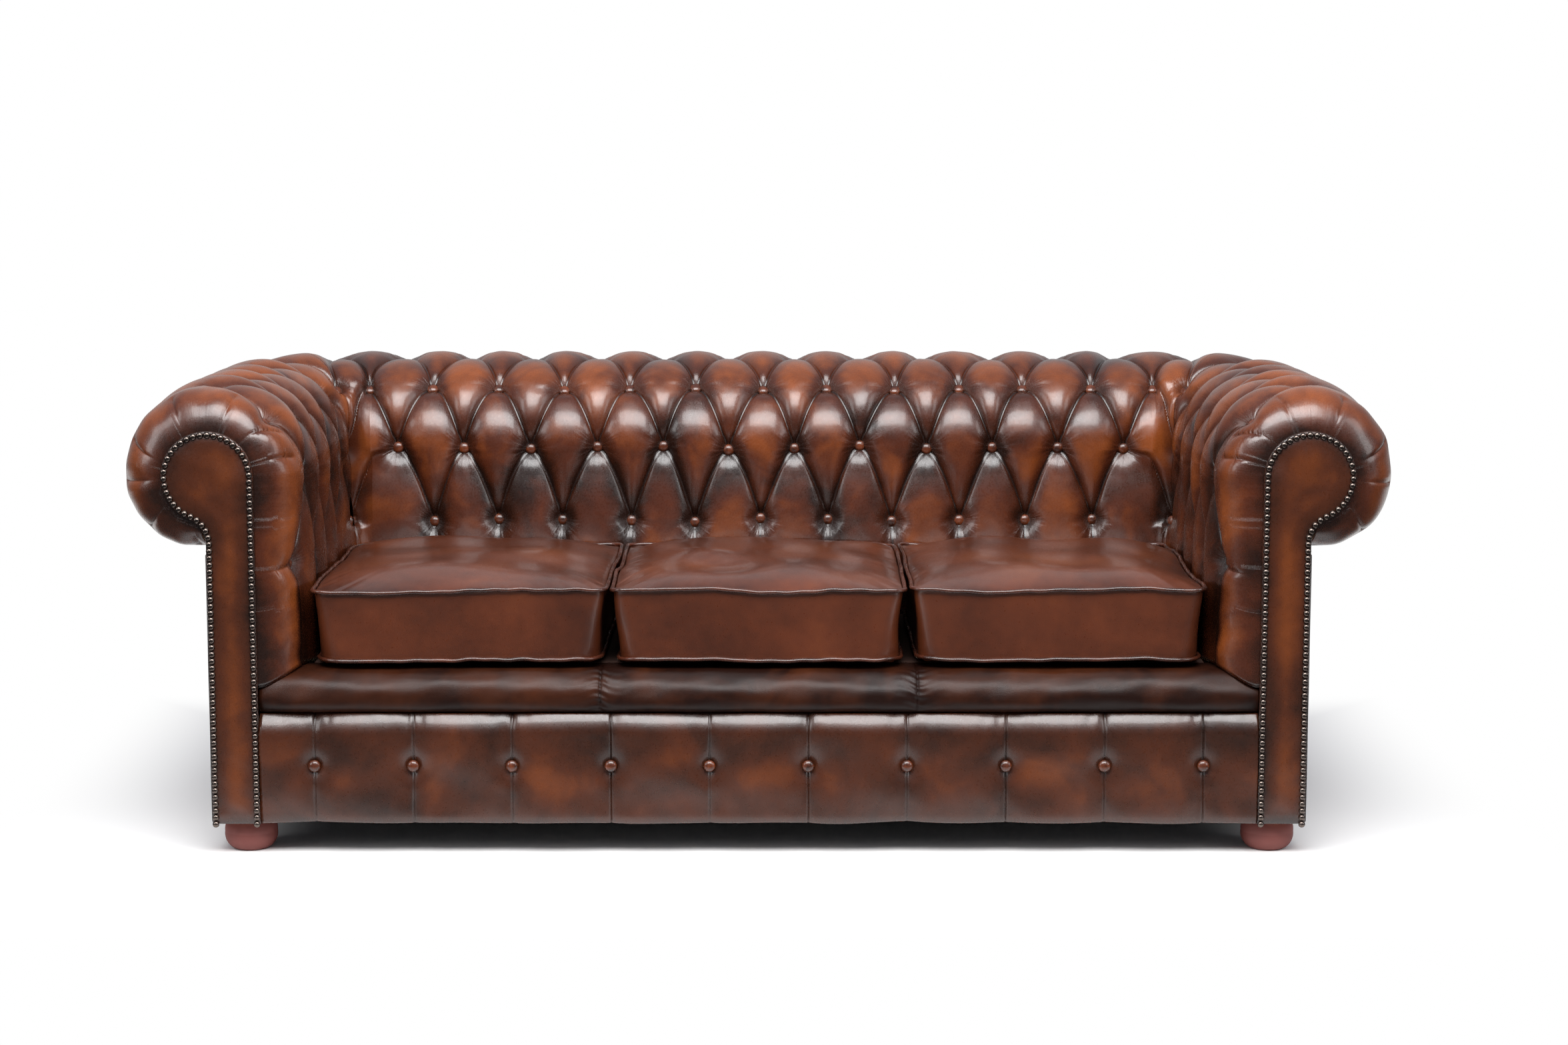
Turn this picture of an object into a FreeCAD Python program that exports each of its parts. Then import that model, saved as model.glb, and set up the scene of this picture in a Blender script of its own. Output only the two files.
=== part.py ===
"""Three-seat chesterfield sofa: timber frame, sprung seat, deep-buttoned arms and back, loose seat cushions.

Frame: +X along the seat, +Y towards the back, +Z up, origin on the floor under the middle of the sofa.
All sizes are in millimetres. d is a distance behind the front plane, n a distance outwards from the padded
inside face of an arm or of the back, and t a length along the padding's outline, from the roll's spring line.
"""
import FreeCAD
import Part
import math
import os
from FreeCAD import Vector

# Seat space and rolls
inside_width = 1454.0          # between the padded faces of the two arms
inside_depth = 590.0           # from the front plane to the padded face of the back
inside_corner = 30.0           # plan radius where an arm meets the back
roll_radius = 149.0            # arms and back carry the same roll
roll_height = 614.0            # centre of the roll above the floor
under_roll_radius = 122.0      # tighter curve where the roll turns under
under_roll_turn = 101.5        # degrees that this curve runs
base_height = 52.0             # underside of the upholstered base

# Deep buttoning
button_pitch = 118.4           # between the buttons of one row
row_pitch = 131.0              # between rows, along the padding
first_row_lift = 167.0         # from the seat platform to the lowest row of buttons
row_count = 4
button_sink = 32.0             # how deep a button pulls the padding in
pleat_sink = 14.0              # depth of a pleat half way between two buttons
button_diameter = 20.0
button_height = 9.0
button_edge = 3.0              # straight side of a button below its dome
cover_depth = 41.0             # leather and wadding, from the padding's crest to its plain back
corner_columns = 14            # half pitches from the middle of the back to the corner mitre
front_columns = 4              # half pitch that the arm's first buttons sit at
first_button_depth = 70.0      # d of the arm's first buttons
cover_tail = 46.0              # how far the covers run down below the seat platform
clearance = 0.3                # between soft pieces and what they lie against

# Scrolled arm fronts
facing_gap = 8.0               # from the front plane to the padding's front end
front_round = 62.0             # depth over which the padding rounds over to its front end
front_draw = 8.0               # how much smaller the roll is behind this rounding
front_wadding = 14.0           # leather and wadding over the rounding
facing_radius = 73.5
facing_stem_out = 153.0        # n of the stem's outer edge
facing_neck = 42.0             # radius of the curve from the scroll to the stem
nail_diameter = 9.8
nail_height = 3.2
nail_pitch = 11.1
nail_inset = 5.6               # from the facing's edge to the middle of the nails

# Timber frame
frame_inset = 112.0            # n of the timber's inner side
rail_thickness = 38.0
rail_bottom = 58.0
tacking_lift = 2.0             # top of the tacking rails above the seat platform
tacking_width = 40.0
top_rail_width = 62.0
top_rail_height = 87.4
post_size = 60.0
post_chamfer = 38.0
upright_depth = 300.0          # d of the arm's upright
back_upright_pitch = 345.0
front_rail_depth = 28.3        # d of the front rail's face
front_panel_thickness = 29.7
front_panel_head = 31.0
front_panel_inner = 92.0       # n of the front panel's inner edge
outer_leather = 6.7            # leather, card and wadding on the outside panels
crossmember_x = 240.0
crossmember_thickness = 30.0
crossmember_height = 70.0

# Sprung seat
spring_count = 12
spring_room = 11.0             # from the front rail's top to the lip
spring_rise = 29.7             # back ends of the springs above their front ends
spring_runs = 29
spring_width = 50.0
spring_margin = 40.0           # from the arm's face to the middle of the first spring
wire_diameter = 3.8
clip_base = 1.0                # metal under the wire
clip_length = 18.0
clip_depth = 12.0
seat_height = 300.0            # top of the platform and of the lip
platform_cloth = 1.5
platform_margin = 1.5          # from the platform's edge to the arms and the back
lip_front = 4.0
lip_depth = 95.0
lip_thickness = 69.0
lip_round = 46.0
lip_seam = 255.0               # the lip's two seams, from the middle
seam_depth = 3.0
seam_width = 9.0
border_front = 3.0
border_puff = 9.0
border_button_count = 10
border_pitch = 158.9
border_button_height = 146.0

# Loose cushions
cushion_count = 3
cushion_front = 30.0           # d of a cushion's front
cushion_back = 583.0           # d of its back
cushion_gap = 3.0
cushion_side_gap = 2.0
cushion_boxing = 115.0         # between the two rings of piping
cushion_crown = 27.0
cushion_sag = 13.7
cushion_corner = 20.0
cushion_leather = 3.0
draw_in = 4.0                  # waist of the cushion's sides
piping_diameter = 6.0

# Feet
foot_height = 56.4
foot_diameter = 85.0
foot_top_diameter = 62.0
foot_base_diameter = 56.0
foot_n = 102.0
foot_d = 65.0
bolt_diameter = 8.0
bolt_length = 66.0
bolt_depth_in_foot = 40.0
block_size = 60.0
block_height = 40.0
dust_cover_thickness = 1.0
dust_cover_margin = 5.0

# Worked out from the sizes above
half_width = inside_width / 2
half_pitch = button_pitch / 2
under_n = 2 * roll_radius - under_roll_radius
first_row_height = seat_height + first_row_lift
cover_bottom = seat_height - cover_tail
lip_bottom = seat_height - lip_thickness
front_rail_top = lip_bottom - spring_room
rail_top = front_rail_top + spring_rise
tacking_high = seat_height + tacking_lift
tacking_low = tacking_high - tacking_width
cushion_low = seat_height + cushion_sag + clearance
cushion_high = cushion_low + cushion_boxing
crest_arc = math.pi * roll_radius
end_t = crest_arc + math.radians(under_roll_turn) * under_roll_radius
first_row_t = first_row_height - roll_height
corner_x = half_width - inside_corner
corner_d = inside_depth - inside_corner
back_corner_column = corner_x / half_pitch
arm_corner_column = front_columns + (corner_d - first_button_depth) / half_pitch
front_y = -(inside_depth + 2 * roll_radius - nail_height) / 2
facing_stem_in = roll_radius - facing_radius
front_reach = half_width + facing_stem_in - clearance
frame_out = frame_inset + rail_thickness
panel_in = frame_out + clearance
panel_out = panel_in + outer_leather
outer_top = roll_height - under_roll_radius - 0.5
front_panel_back = facing_gap + front_panel_thickness
front_rail_back = front_rail_depth + rail_thickness
back_rail_front = inside_depth + frame_inset
back_rail_back = inside_depth + frame_out
top_rail_low = roll_height - top_rail_height / 2
lip_back = lip_front + lip_depth
platform_front = lip_back + clearance
platform_back = inside_depth - platform_margin
border_top = lip_bottom - clearance
sides = (("left", -1), ("right", 1))


def at(x, d, z):
    """A point from its width, its distance behind the front plane and its height."""
    return Vector(x, front_y + d, z)


def box(x0, x1, d0, d1, z0, z1):
    return Part.makeBox(x1 - x0, d1 - d0, z1 - z0, at(x0, d0, z0))


def side_box(side, n0, n1, d0, d1, z0, z1):
    """A box beside one arm, from n0 to n1 outwards."""
    low, high = sorted((side * (half_width + n0), side * (half_width + n1)))
    return box(low, high, d0, d1, z0, z1)


def save(name, *solids):
    shape = solids[0] if len(solids) == 1 else Part.makeCompound(list(solids))
    shape.exportStep("parts/" + name + ".step")
    print(name, len(shape.Solids), "solid(s)", round(shape.Volume / 1000.0), "cm3")


def line(a, b):
    return Part.LineSegment(a, b).toShape()


def arc(a, middle, b):
    return Part.Arc(a, middle, b).toShape()


def prism(points, direction):
    """Solid with straight sides from a closed list of points."""
    return Part.Face(Part.makePolygon(points + points[:1])).extrude(direction)


def skin(wires):
    """Solid through a row of matching slices."""
    solid = Part.makeLoft(wires, True, True)
    if solid.Volume < 0:
        solid.reverse()
    return solid


# The padding's outline and its buttoned surface

def outline(t, inset):
    """(n, z) of the padding's outline at t, drawn in by inset."""
    if t <= 0:
        return inset, roll_height + t
    if t <= crest_arc:
        angle = math.pi - t / roll_radius
        centre, radius = roll_radius, roll_radius
    else:
        angle = -(t - crest_arc) / under_roll_radius
        centre, radius = under_n, under_roll_radius
    return (centre + (radius - inset) * math.cos(angle),
            roll_height + (radius - inset) * math.sin(angle))


def swell(share):
    """Height of a puff between two pleats, 0 to 1."""
    return abs(math.sin(math.pi * share)) ** 0.7


def diamond(column, row):
    """Depth of the buttoned surface under its crest; buttons sit where column + row is even."""
    across = swell((row + column) / 2)
    along = swell((row - column) / 2)
    ridge = button_sink - pleat_sink
    return button_sink - ridge * (across + along - across * along) - pleat_sink * across * along


def straight_pleats(column, row):
    return pleat_sink * (1 - swell((column + row) / 2))


def sink(column, t):
    """Depth of the padding's surface at a column, counted in half pitches, and at t along the outline."""
    row = (t - first_row_t) / row_pitch
    last = row_count - 1
    column = abs(column)
    if row < 0 or row > last:
        edge = 0 if row < 0 else last
        away = min(1.0, 2 * abs(row - edge))
        plain = straight_pleats(column, edge)
        if row < 0 and column > corner_columns - 3:
            plain = 0.0
        return (1 - away) * sink(column, first_row_t + edge * row_pitch) + away * plain
    deep = diamond(column, row)
    plain_from = corner_columns - 3
    if column > plain_from and row < 2:
        share = (column - plain_from) / (corner_columns - plain_from)
        plain = (1 - share) * diamond(plain_from, row) + share * diamond(corner_columns, row)
        keep = max(0.0, row - 1)
        deep = keep * deep + (1 - keep) * plain
    return deep


def buttoned(column, row):
    """Whether a button sits here; the two half pitches next to the corner carry only the upper rows."""
    crowded = corner_columns - 3 < column < corner_columns and row < 2
    return (column + row) % 2 == 0 and not crowded


def arm_d(column):
    return first_button_depth + (column - front_columns) * half_pitch


def arm_column(d):
    return front_columns + (d - first_button_depth) / half_pitch


def corner_turn(column, start):
    return math.radians(45) * (column - start) / (corner_columns - start)


def place_back(column):
    """Turns (n, z) into a point on the back's section at this column."""
    side = -1 if column < 0 else 1
    size = abs(column)
    if size <= back_corner_column:
        return lambda n, z: at(side * size * half_pitch, inside_depth + n, z)
    turn = corner_turn(size, back_corner_column)
    return lambda n, z: at(side * (corner_x + (inside_corner + n) * math.sin(turn)),
                           corner_d + (inside_corner + n) * math.cos(turn), z)


def place_arm(column, side):
    """The same for an arm, whose columns count up from its front to the mitre."""
    if column <= arm_corner_column:
        d = arm_d(column)
        return lambda n, z: at(side * (half_width + n), d, z)
    turn = corner_turn(column, arm_corner_column)
    return lambda n, z: at(side * (corner_x + (inside_corner + n) * math.cos(turn)),
                           corner_d + (inside_corner + n) * math.sin(turn), z)


def bulged(depth_at, start, stop):
    """Depth at the middle of an arc, kept off the straight line between its ends."""
    middle = depth_at((start + stop) / 2)
    chord = (depth_at(start) + depth_at(stop)) / 2
    return middle if abs(middle - chord) > 0.2 else chord + 0.4


def section(place, depth_at, back_inset, bottom):
    """Closed wire of one slice of a padded cover: buttoned outside, plain inside."""
    stops = [bottom - roll_height]
    stops += [first_row_t + row_pitch / 2 * k for k in range(-1, 2 * row_count)]
    stops += [crest_arc, end_t]
    edges = []

    def point(t, inset):
        return place(*outline(t, inset))

    for start, stop in zip(stops, stops[1:]):
        middle = (start + stop) / 2
        edges.append(arc(point(start, depth_at(start)), point(middle, bulged(depth_at, start, stop)),
                         point(stop, depth_at(stop))))
    edges.append(line(point(end_t, depth_at(end_t)), point(end_t, back_inset)))
    inner = [end_t, crest_arc, crest_arc / 2, 0.0]
    for start, stop in zip(inner, inner[1:]):
        edges.append(arc(point(start, back_inset), point((start + stop) / 2, back_inset), point(stop, back_inset)))
    edges.append(line(point(0.0, back_inset), point(stops[0], back_inset)))
    edges.append(line(point(stops[0], back_inset), point(stops[0], depth_at(stops[0]))))
    return Part.Wire(edges)


def round_over(d):
    """How far the arm's padding is drawn in near its front end, at d."""
    behind = d - facing_gap - front_round
    if behind >= 0:
        return front_draw * max(0.0, 1 - behind / half_pitch)
    drawn = roll_radius - facing_radius - front_draw - clearance
    return front_draw + drawn * (1 - math.sqrt(max(0.0, 1 - (behind / front_round) ** 2)))


def lip_fall(d):
    """How far the lip's top has rounded down at d."""
    ahead = max(0.0, lip_front + lip_round - d)
    return lip_round - math.sqrt(max(0.0, lip_round ** 2 - ahead ** 2))


# Buttons and the hollows they sit in

def turned_solid(points):
    """Solid of revolution about +Z from (radius, height) points joined by lines."""
    wire = Part.makePolygon([Vector(r, 0, z) for r, z in points + points[:1]])
    return Part.Face(wire).revolve(Vector(0, 0, 0), Vector(0, 0, 1), 360)


def dome(diameter, edge, height):
    """Button or nail head standing on z = 0: a short straight side and a domed top."""
    radius = diameter / 2
    rise = height - edge
    ball = (radius ** 2 + rise ** 2) / (2 * rise)
    lean = math.asin(radius / ball) / 2
    outer = [line(Vector(0, 0, 0), Vector(radius, 0, 0))]
    if edge > 0:
        outer.append(line(Vector(radius, 0, 0), Vector(radius, 0, edge)))
    outer.append(arc(Vector(radius, 0, edge),
                     Vector(ball * math.sin(lean), 0, height - ball + ball * math.cos(lean)), Vector(0, 0, height)))
    outer.append(line(Vector(0, 0, height), Vector(0, 0, 0)))
    return Part.Face(Part.Wire(outer)).revolve(Vector(0, 0, 0), Vector(0, 0, 1), 360)


def stand(shape, foot, direction):
    """Copy of a shape made on z = 0, moved so that it stands at foot and points along direction."""
    copy = shape.copy()
    copy.Placement = FreeCAD.Placement(foot, FreeCAD.Rotation(Vector(0, 0, 1), direction))
    return copy


def button_seat(place, row):
    """Foot and direction of a button on this section."""
    t = first_row_t + row * row_pitch
    foot = place(*outline(t, button_sink))
    return foot, place(*outline(t, button_sink - 1)) - foot


button = dome(button_diameter, button_edge, button_height)
pocket = Part.makeCylinder(button_diameter / 2 + clearance, button_sink * 2, Vector(0, 0, -clearance))


def back_seats():
    return [button_seat(place_back(column), row)
            for column in range(-corner_columns, corner_columns + 1) for row in range(row_count)
            if buttoned(abs(column), row)]


def arm_seats(side):
    return [button_seat(place_arm(column, side), row)
            for column in range(front_columns, corner_columns) for row in range(row_count)
            if buttoned(column, row)]


def pocketed(cover, seats):
    return cover.cut(Part.makeCompound([stand(pocket, *seat) for seat in seats]))


def corner_seats():
    return [seat for seat in back_seats() if abs(seat[0].x) > corner_x + inside_corner / 2]


# Padded covers and the foam behind them

def back_columns():
    """Where the back is sliced: every quarter of a button pitch, and where its corners start."""
    steps = [c / 2 for c in range(-2 * corner_columns, 2 * corner_columns + 1)]
    return sorted(steps + [-back_corner_column, back_corner_column])


def arm_columns():
    """The same for an arm, from its first buttons to the mitre."""
    steps = [c / 2 for c in range(2 * front_columns, 2 * corner_columns + 1)]
    return sorted(steps + [arm_corner_column])


def back_cover():
    wires = [section(place_back(column), lambda t, c=column: sink(c, t), cover_depth, cover_bottom)
             for column in back_columns()]
    return pocketed(skin(wires), back_seats())


def arm_slice(column, side):
    d = arm_d(column)
    draw = round_over(d)
    fade = max(0.0, min(1.0, (d - facing_gap) / (first_button_depth - facing_gap)))

    def depth_at(t):
        turned = max(0.0, (t - crest_arc) / (end_t - crest_arc))
        return draw * (1 - turned / 2) + sink(max(column, front_columns), t) * (0.25 + 0.75 * fade ** 2)

    over_lip = d - half_pitch / 2 < lip_back
    bottom = seat_height - lip_fall(d) + 5 * clearance if over_lip else cover_bottom
    return section(place_arm(column, side), depth_at, max(cover_depth, draw + front_wadding), bottom)


def arm_cover(side):
    fronts = [arm_column(facing_gap + front_round * s) for s in (0.0, 0.04, 0.15, 0.35, 0.65)]
    wires = [arm_slice(column, side) for column in fronts + arm_columns()]
    return pocketed(skin(wires), arm_seats(side) + corner_seats())


def foam_slice(place):
    """Plain section of the foam, from the cover's back to the timber."""
    inset = cover_depth + clearance
    back = frame_inset - clearance
    bottom = seat_height + 2 * clearance
    stops = [0.0, crest_arc / 2, crest_arc, end_t]
    points = [place(*outline(t, inset)) for t in stops]
    edges = [line(place(inset, bottom), points[0])]
    for k in range(3):
        middle = place(*outline((stops[k] + stops[k + 1]) / 2, inset))
        edges.append(arc(points[k], middle, points[k + 1]))
    low_z = outline(end_t, inset)[1]
    edges.append(line(points[3], place(back, low_z)))
    edges.append(line(place(back, low_z), place(back, bottom)))
    edges.append(line(place(back, bottom), place(inset, bottom)))
    return Part.Wire(edges)


def back_foam():
    return skin([foam_slice(place_back(column)) for column in back_columns()])


def arm_foam(side):
    return skin([foam_slice(place_arm(column, side)) for column in arm_columns()])


# Timber frame

def top_corner(side):
    """Curved block that joins an arm's top rail to the back's."""
    centre = at(side * corner_x, corner_d, 0)
    corners = ((frame_inset, top_rail_low), (frame_inset + top_rail_width, top_rail_low),
               (frame_inset + top_rail_width, top_rail_low + top_rail_height),
               (frame_inset, top_rail_low + top_rail_height))
    points = [at(side * (half_width + n), corner_d, z) for n, z in corners]
    return Part.Face(Part.makePolygon(points + points[:1])).revolve(centre, Vector(0, 0, 1), 90 * side)


def back_post(side):
    """Post in the corner of the rails, chamfered so that it clears the roll's underside."""
    n1 = frame_inset
    n0 = n1 - post_size
    corners = ((n0, n0), (n1, n0), (n1, n1 - post_chamfer), (n1 - post_chamfer, n1), (n0, n1))
    points = [at(side * (half_width + across), inside_depth + along, rail_bottom + block_height)
              for across, along in corners]
    return prism(points, Vector(0, 0, top_rail_low - rail_bottom - block_height))


def front_panel(side):
    stem = side_box(side, front_panel_inner, frame_out, facing_gap + clearance, front_panel_back,
                    rail_bottom, roll_height)
    head = Part.makeCylinder(front_panel_head, front_panel_thickness - clearance,
                             at(side * (half_width + roll_radius), facing_gap + clearance, roll_height),
                             Vector(0, 1, 0))
    return stem.fuse(head).removeSplitter()


def arm_upright(side):
    return side_box(side, frame_inset, frame_out, upright_depth, upright_depth + rail_thickness,
                    tacking_high, top_rail_low)


def arm_top_rail(side):
    return side_box(side, frame_inset, frame_inset + top_rail_width, front_panel_back, corner_d,
                    top_rail_low, top_rail_low + top_rail_height)


def side_rail(side):
    return side_box(side, frame_inset, frame_out, front_panel_back, back_rail_back, rail_bottom, rail_top)


def arm_tacking_rail(side):
    return side_box(side, frame_inset, frame_out, front_panel_back, back_rail_back, tacking_low, tacking_high)


def back_rail(low, high):
    reach = half_width + frame_inset
    return box(-reach, reach, back_rail_front, back_rail_back, low, high)


def back_uprights():
    return [box(x - rail_thickness / 2, x + rail_thickness / 2, back_rail_front, back_rail_back,
                tacking_high, top_rail_low) for x in (-back_upright_pitch, 0, back_upright_pitch)]


def back_top_rail():
    return box(-corner_x, corner_x, back_rail_front, back_rail_front + top_rail_width,
               top_rail_low, top_rail_low + top_rail_height)


def foot_places():
    back_d = inside_depth + panel_out - foot_d
    return [(name + "_" + part, side * (half_width + foot_n), d)
            for part, d in (("front", foot_d), ("back", back_d)) for name, side in sides]


def bolt(x, d, radius):
    low = foot_height - bolt_depth_in_foot
    return Part.makeCylinder(radius, bolt_length, at(x, d, low))


def corner_blocks():
    blocks = []
    for side in (-1, 1):
        for d in (front_rail_back, back_rail_front - block_size):
            blocks.append(side_box(side, frame_inset - block_size, frame_inset, d, d + block_size,
                                   rail_bottom, rail_bottom + block_height))
    holes = [bolt(x, d, bolt_diameter / 2) for _, x, d in foot_places()]
    return [block.cut(holes) for block in blocks]


# Sprung seat

front_clip_d = front_rail_depth + rail_thickness / 2
back_clip_d = back_rail_front + rail_thickness / 2
wire_lift = clip_base + wire_diameter / 2
spring_slope = spring_rise / (back_clip_d - front_clip_d)
spring_step = (inside_width - 2 * spring_margin) / (spring_count - 1)
spring_places = [-half_width + spring_margin + k * spring_step for k in range(spring_count)]


def wire_height(d):
    """Height of a spring's wire above the floor at d."""
    return front_rail_top + wire_lift + spring_slope * (d - front_clip_d)


def zigzag_spring():
    """One flat zigzag spring from clip to clip, in the plane that both clips lie in."""
    length = math.hypot(back_clip_d - front_clip_d, spring_rise)
    step = length / (spring_runs - 1)
    reach = (spring_width - step) / 2
    edges = []
    for k in range(spring_runs):
        sign = 1 if k % 2 else -1
        edges.append(line(Vector(-sign * -reach, k * step, 0), Vector(-sign * reach, k * step, 0)))
        if k < spring_runs - 1:
            x = -sign * reach
            edges.append(arc(Vector(x, k * step, 0), Vector(x - sign * step / 2, (k + 0.5) * step, 0),
                             Vector(x, (k + 1) * step, 0)))
    path = Part.Wire(edges)
    start = edges[0].Vertexes[0].Point
    ring = Part.Wire(Part.makeCircle(wire_diameter / 2, start, Vector(1, 0, 0)))
    spring = path.makePipeShell([ring], True, False)
    spring.rotate(Vector(0, 0, 0), Vector(1, 0, 0), math.degrees(math.asin(spring_rise / length)))
    return spring


def clip(x, d, rail):
    block = box(x - clip_length / 2, x + clip_length / 2, d - clip_depth / 2, d + clip_depth / 2,
                rail, rail + 2 * clip_base + wire_diameter)
    wire = Part.makeCylinder(wire_diameter / 2, clip_length, at(x - clip_length / 2, d, rail + wire_lift),
                             Vector(1, 0, 0))
    slot = box(x - clip_length / 2, x + clip_length / 2, d, d + clip_depth, rail + clip_base,
               rail + clip_base + wire_diameter)
    if d > inside_depth:
        slot = slot.mirror(at(x, d, 0), Vector(0, 1, 0))
    return block.cut([wire, slot])


def seat_block(low, high):
    """Level block that fills the seat's plan, with its back corners rounded to suit the padding."""
    reach = half_width - platform_margin
    radius = inside_corner - platform_margin / 2
    slope = radius * (1 - math.sin(math.radians(45)))
    front_left = at(-reach, platform_front, low)
    front_right = at(reach, platform_front, low)
    turn_right = at(reach, platform_back - radius, low)
    turn_left = at(-reach, platform_back - radius, low)
    back_right = at(reach - radius, platform_back, low)
    back_left = at(radius - reach, platform_back, low)
    edges = [line(front_left, front_right), line(front_right, turn_right),
             arc(turn_right, at(reach - slope, platform_back - slope, low), back_right),
             line(back_right, back_left),
             arc(back_left, at(slope - reach, platform_back - slope, low), turn_left),
             line(turn_left, front_left)]
    return Part.Face(Part.Wire(edges)).extrude(Vector(0, 0, high - low))


def seat_pad():
    """Foam between the springs and the platform cloth; its underside follows the springs' slope."""
    reach = half_width
    lift = wire_diameter / 2 + clearance
    top = seat_height - platform_cloth
    points = [at(-reach, platform_front, wire_height(platform_front) + lift),
              at(-reach, platform_back, wire_height(platform_back) + lift),
              at(-reach, platform_back, top), at(-reach, platform_front, top)]
    wedge = prism(points, Vector(2 * reach, 0, 0))
    return wedge.common(seat_block(front_rail_top, top))


def front_lip():
    """Padded lip with its rounded front and the two seams across it."""
    x = -front_reach
    start = seat_height - lip_round
    round_end = lip_front + lip_round
    lean = lip_round * math.sin(math.radians(45))
    edges = [line(at(x, lip_front, lip_bottom), at(x, lip_front, start)),
             arc(at(x, lip_front, start), at(x, round_end - lean, start + lean), at(x, round_end, seat_height)),
             line(at(x, round_end, seat_height), at(x, lip_back, seat_height)),
             line(at(x, lip_back, seat_height), at(x, lip_back, lip_bottom)),
             line(at(x, lip_back, lip_bottom), at(x, lip_front, lip_bottom))]
    lip = Part.Face(Part.Wire(edges)).extrude(Vector(2 * front_reach, 0, 0))
    wedges = []
    for seam in (-lip_seam, lip_seam):
        flat = [Vector(seam - seam_width / 2, 0, 0), Vector(seam + seam_width / 2, 0, 0),
                Vector(seam, 0, -seam_depth)]
        top = [point + at(0, lip_front, seat_height) for point in flat]
        wedges.append(prism(top, Vector(0, lip_depth, 0)))
        turned = [Vector(point.x, -point.z, 0) + at(0, lip_front, lip_bottom) for point in flat]
        wedges.append(prism(turned, Vector(0, 0, seat_height - lip_bottom)))
    return lip.cut(wedges)


border_places = [(k - (border_button_count - 1) / 2) * border_pitch for k in range(border_button_count)]


def front_border():
    """Padded panel under the lip, drawn in by an upright pleat at each button."""
    stops = [-front_reach] + border_places + [front_reach]
    back = front_rail_depth - clearance
    deep = border_front + border_puff
    edges = []
    for a, b in zip(stops, stops[1:]):
        puff = border_front if b - a > border_pitch / 2 else border_front + border_puff / 2
        edges.append(arc(at(a, deep, base_height), at((a + b) / 2, puff, base_height), at(b, deep, base_height)))
    edges.append(line(at(front_reach, deep, base_height), at(front_reach, back, base_height)))
    edges.append(line(at(front_reach, back, base_height), at(-front_reach, back, base_height)))
    edges.append(line(at(-front_reach, back, base_height), at(-front_reach, deep, base_height)))
    border = Part.Face(Part.Wire(edges)).extrude(Vector(0, 0, border_top - base_height))
    hollows = [Part.makeCylinder(button_diameter / 2 + clearance, deep + clearance,
                                 at(x, 0, border_button_height), Vector(0, 1, 0)) for x in border_places]
    return border.cut(hollows)


# Scrolled facings and their nails

def facing_edges(inset, side, d):
    """Edge of a facing from its inner foot, round the scroll, to its outer foot, drawn in by inset."""
    centre_n = roll_radius
    inner = facing_stem_in + inset
    outer = facing_stem_out - inset
    neck_n = facing_stem_out + facing_neck
    neck_z = roll_height - math.sqrt((facing_radius + facing_neck) ** 2 - (neck_n - centre_n) ** 2)
    scroll = facing_radius - inset
    neck = facing_neck + inset
    turn = math.atan2(neck_z - roll_height, neck_n - centre_n)

    def place(n, z):
        return at(side * (half_width + n), d, z)

    def on_scroll(angle):
        return place(centre_n + scroll * math.cos(angle), roll_height + scroll * math.sin(angle))

    def on_neck(angle):
        return place(neck_n + neck * math.cos(angle), neck_z + neck * math.sin(angle))

    foot = base_height + inset
    half = (math.pi + turn) / 2
    return [line(place(inner, foot), on_scroll(math.pi)),
            arc(on_scroll(math.pi), on_scroll(3 * math.pi / 4), on_scroll(math.pi / 2)),
            arc(on_scroll(math.pi / 2), on_scroll((math.pi / 2 + turn) / 2), on_scroll(turn)),
            arc(on_scroll(turn), on_neck((math.pi + turn + math.pi) / 2), on_neck(math.pi)),
            line(on_neck(math.pi), place(outer, foot))]


def arm_facing(side):
    edges = facing_edges(0.0, side, 0.0)
    edges.append(line(edges[-1].Vertexes[-1].Point, edges[0].Vertexes[0].Point))
    return Part.Face(Part.Wire(edges)).extrude(Vector(0, facing_gap - clearance, 0))


def facing_nails(side):
    path = facing_edges(nail_inset, side, 0.0)
    count = round(sum(edge.Length for edge in path) / nail_pitch)
    points = Part.Wire(path).discretize(Number=count)
    nail = dome(min(nail_diameter, nail_pitch), 0.0, nail_height)
    return [stand(nail, point, Vector(0, -1, 0)) for point in points]


# Loose cushions

cushion_width = (inside_width - 2 * cushion_side_gap - (cushion_count - 1) * cushion_gap) / cushion_count
cushion_middle = (cushion_front + cushion_back) / 2
cushion_places = [(k - (cushion_count - 1) / 2) * (cushion_width + cushion_gap) for k in range(cushion_count)]
cushion_half_x = cushion_width / 2 - piping_diameter - clearance
cushion_half_d = (cushion_back - cushion_front) / 2 - piping_diameter - clearance


def rounded_ring(x, z, half_x, half_d, corner):
    """Closed rounded rectangle of four lines and four arcs, level at z."""
    y = front_y + cushion_middle
    slope = corner * (1 - math.sin(math.radians(45)))
    corners = ((1, 1), (-1, 1), (-1, -1), (1, -1))
    edges = []
    for k, (sx, sy) in enumerate(corners):
        cx = x + sx * half_x
        cy = y + sy * half_d
        first = Vector(cx, cy - sy * corner, z) if k % 2 == 0 else Vector(cx - sx * corner, cy, z)
        last = Vector(cx - sx * corner, cy, z) if k % 2 == 0 else Vector(cx, cy - sy * corner, z)
        if edges:
            edges.append(line(edges[-1].Vertexes[-1].Point, first))
        edges.append(arc(first, Vector(cx - sx * slope, cy - sy * slope, z), last))
    edges.append(line(edges[-1].Vertexes[-1].Point, edges[0].Vertexes[0].Point))
    return Part.Wire(edges)


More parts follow.
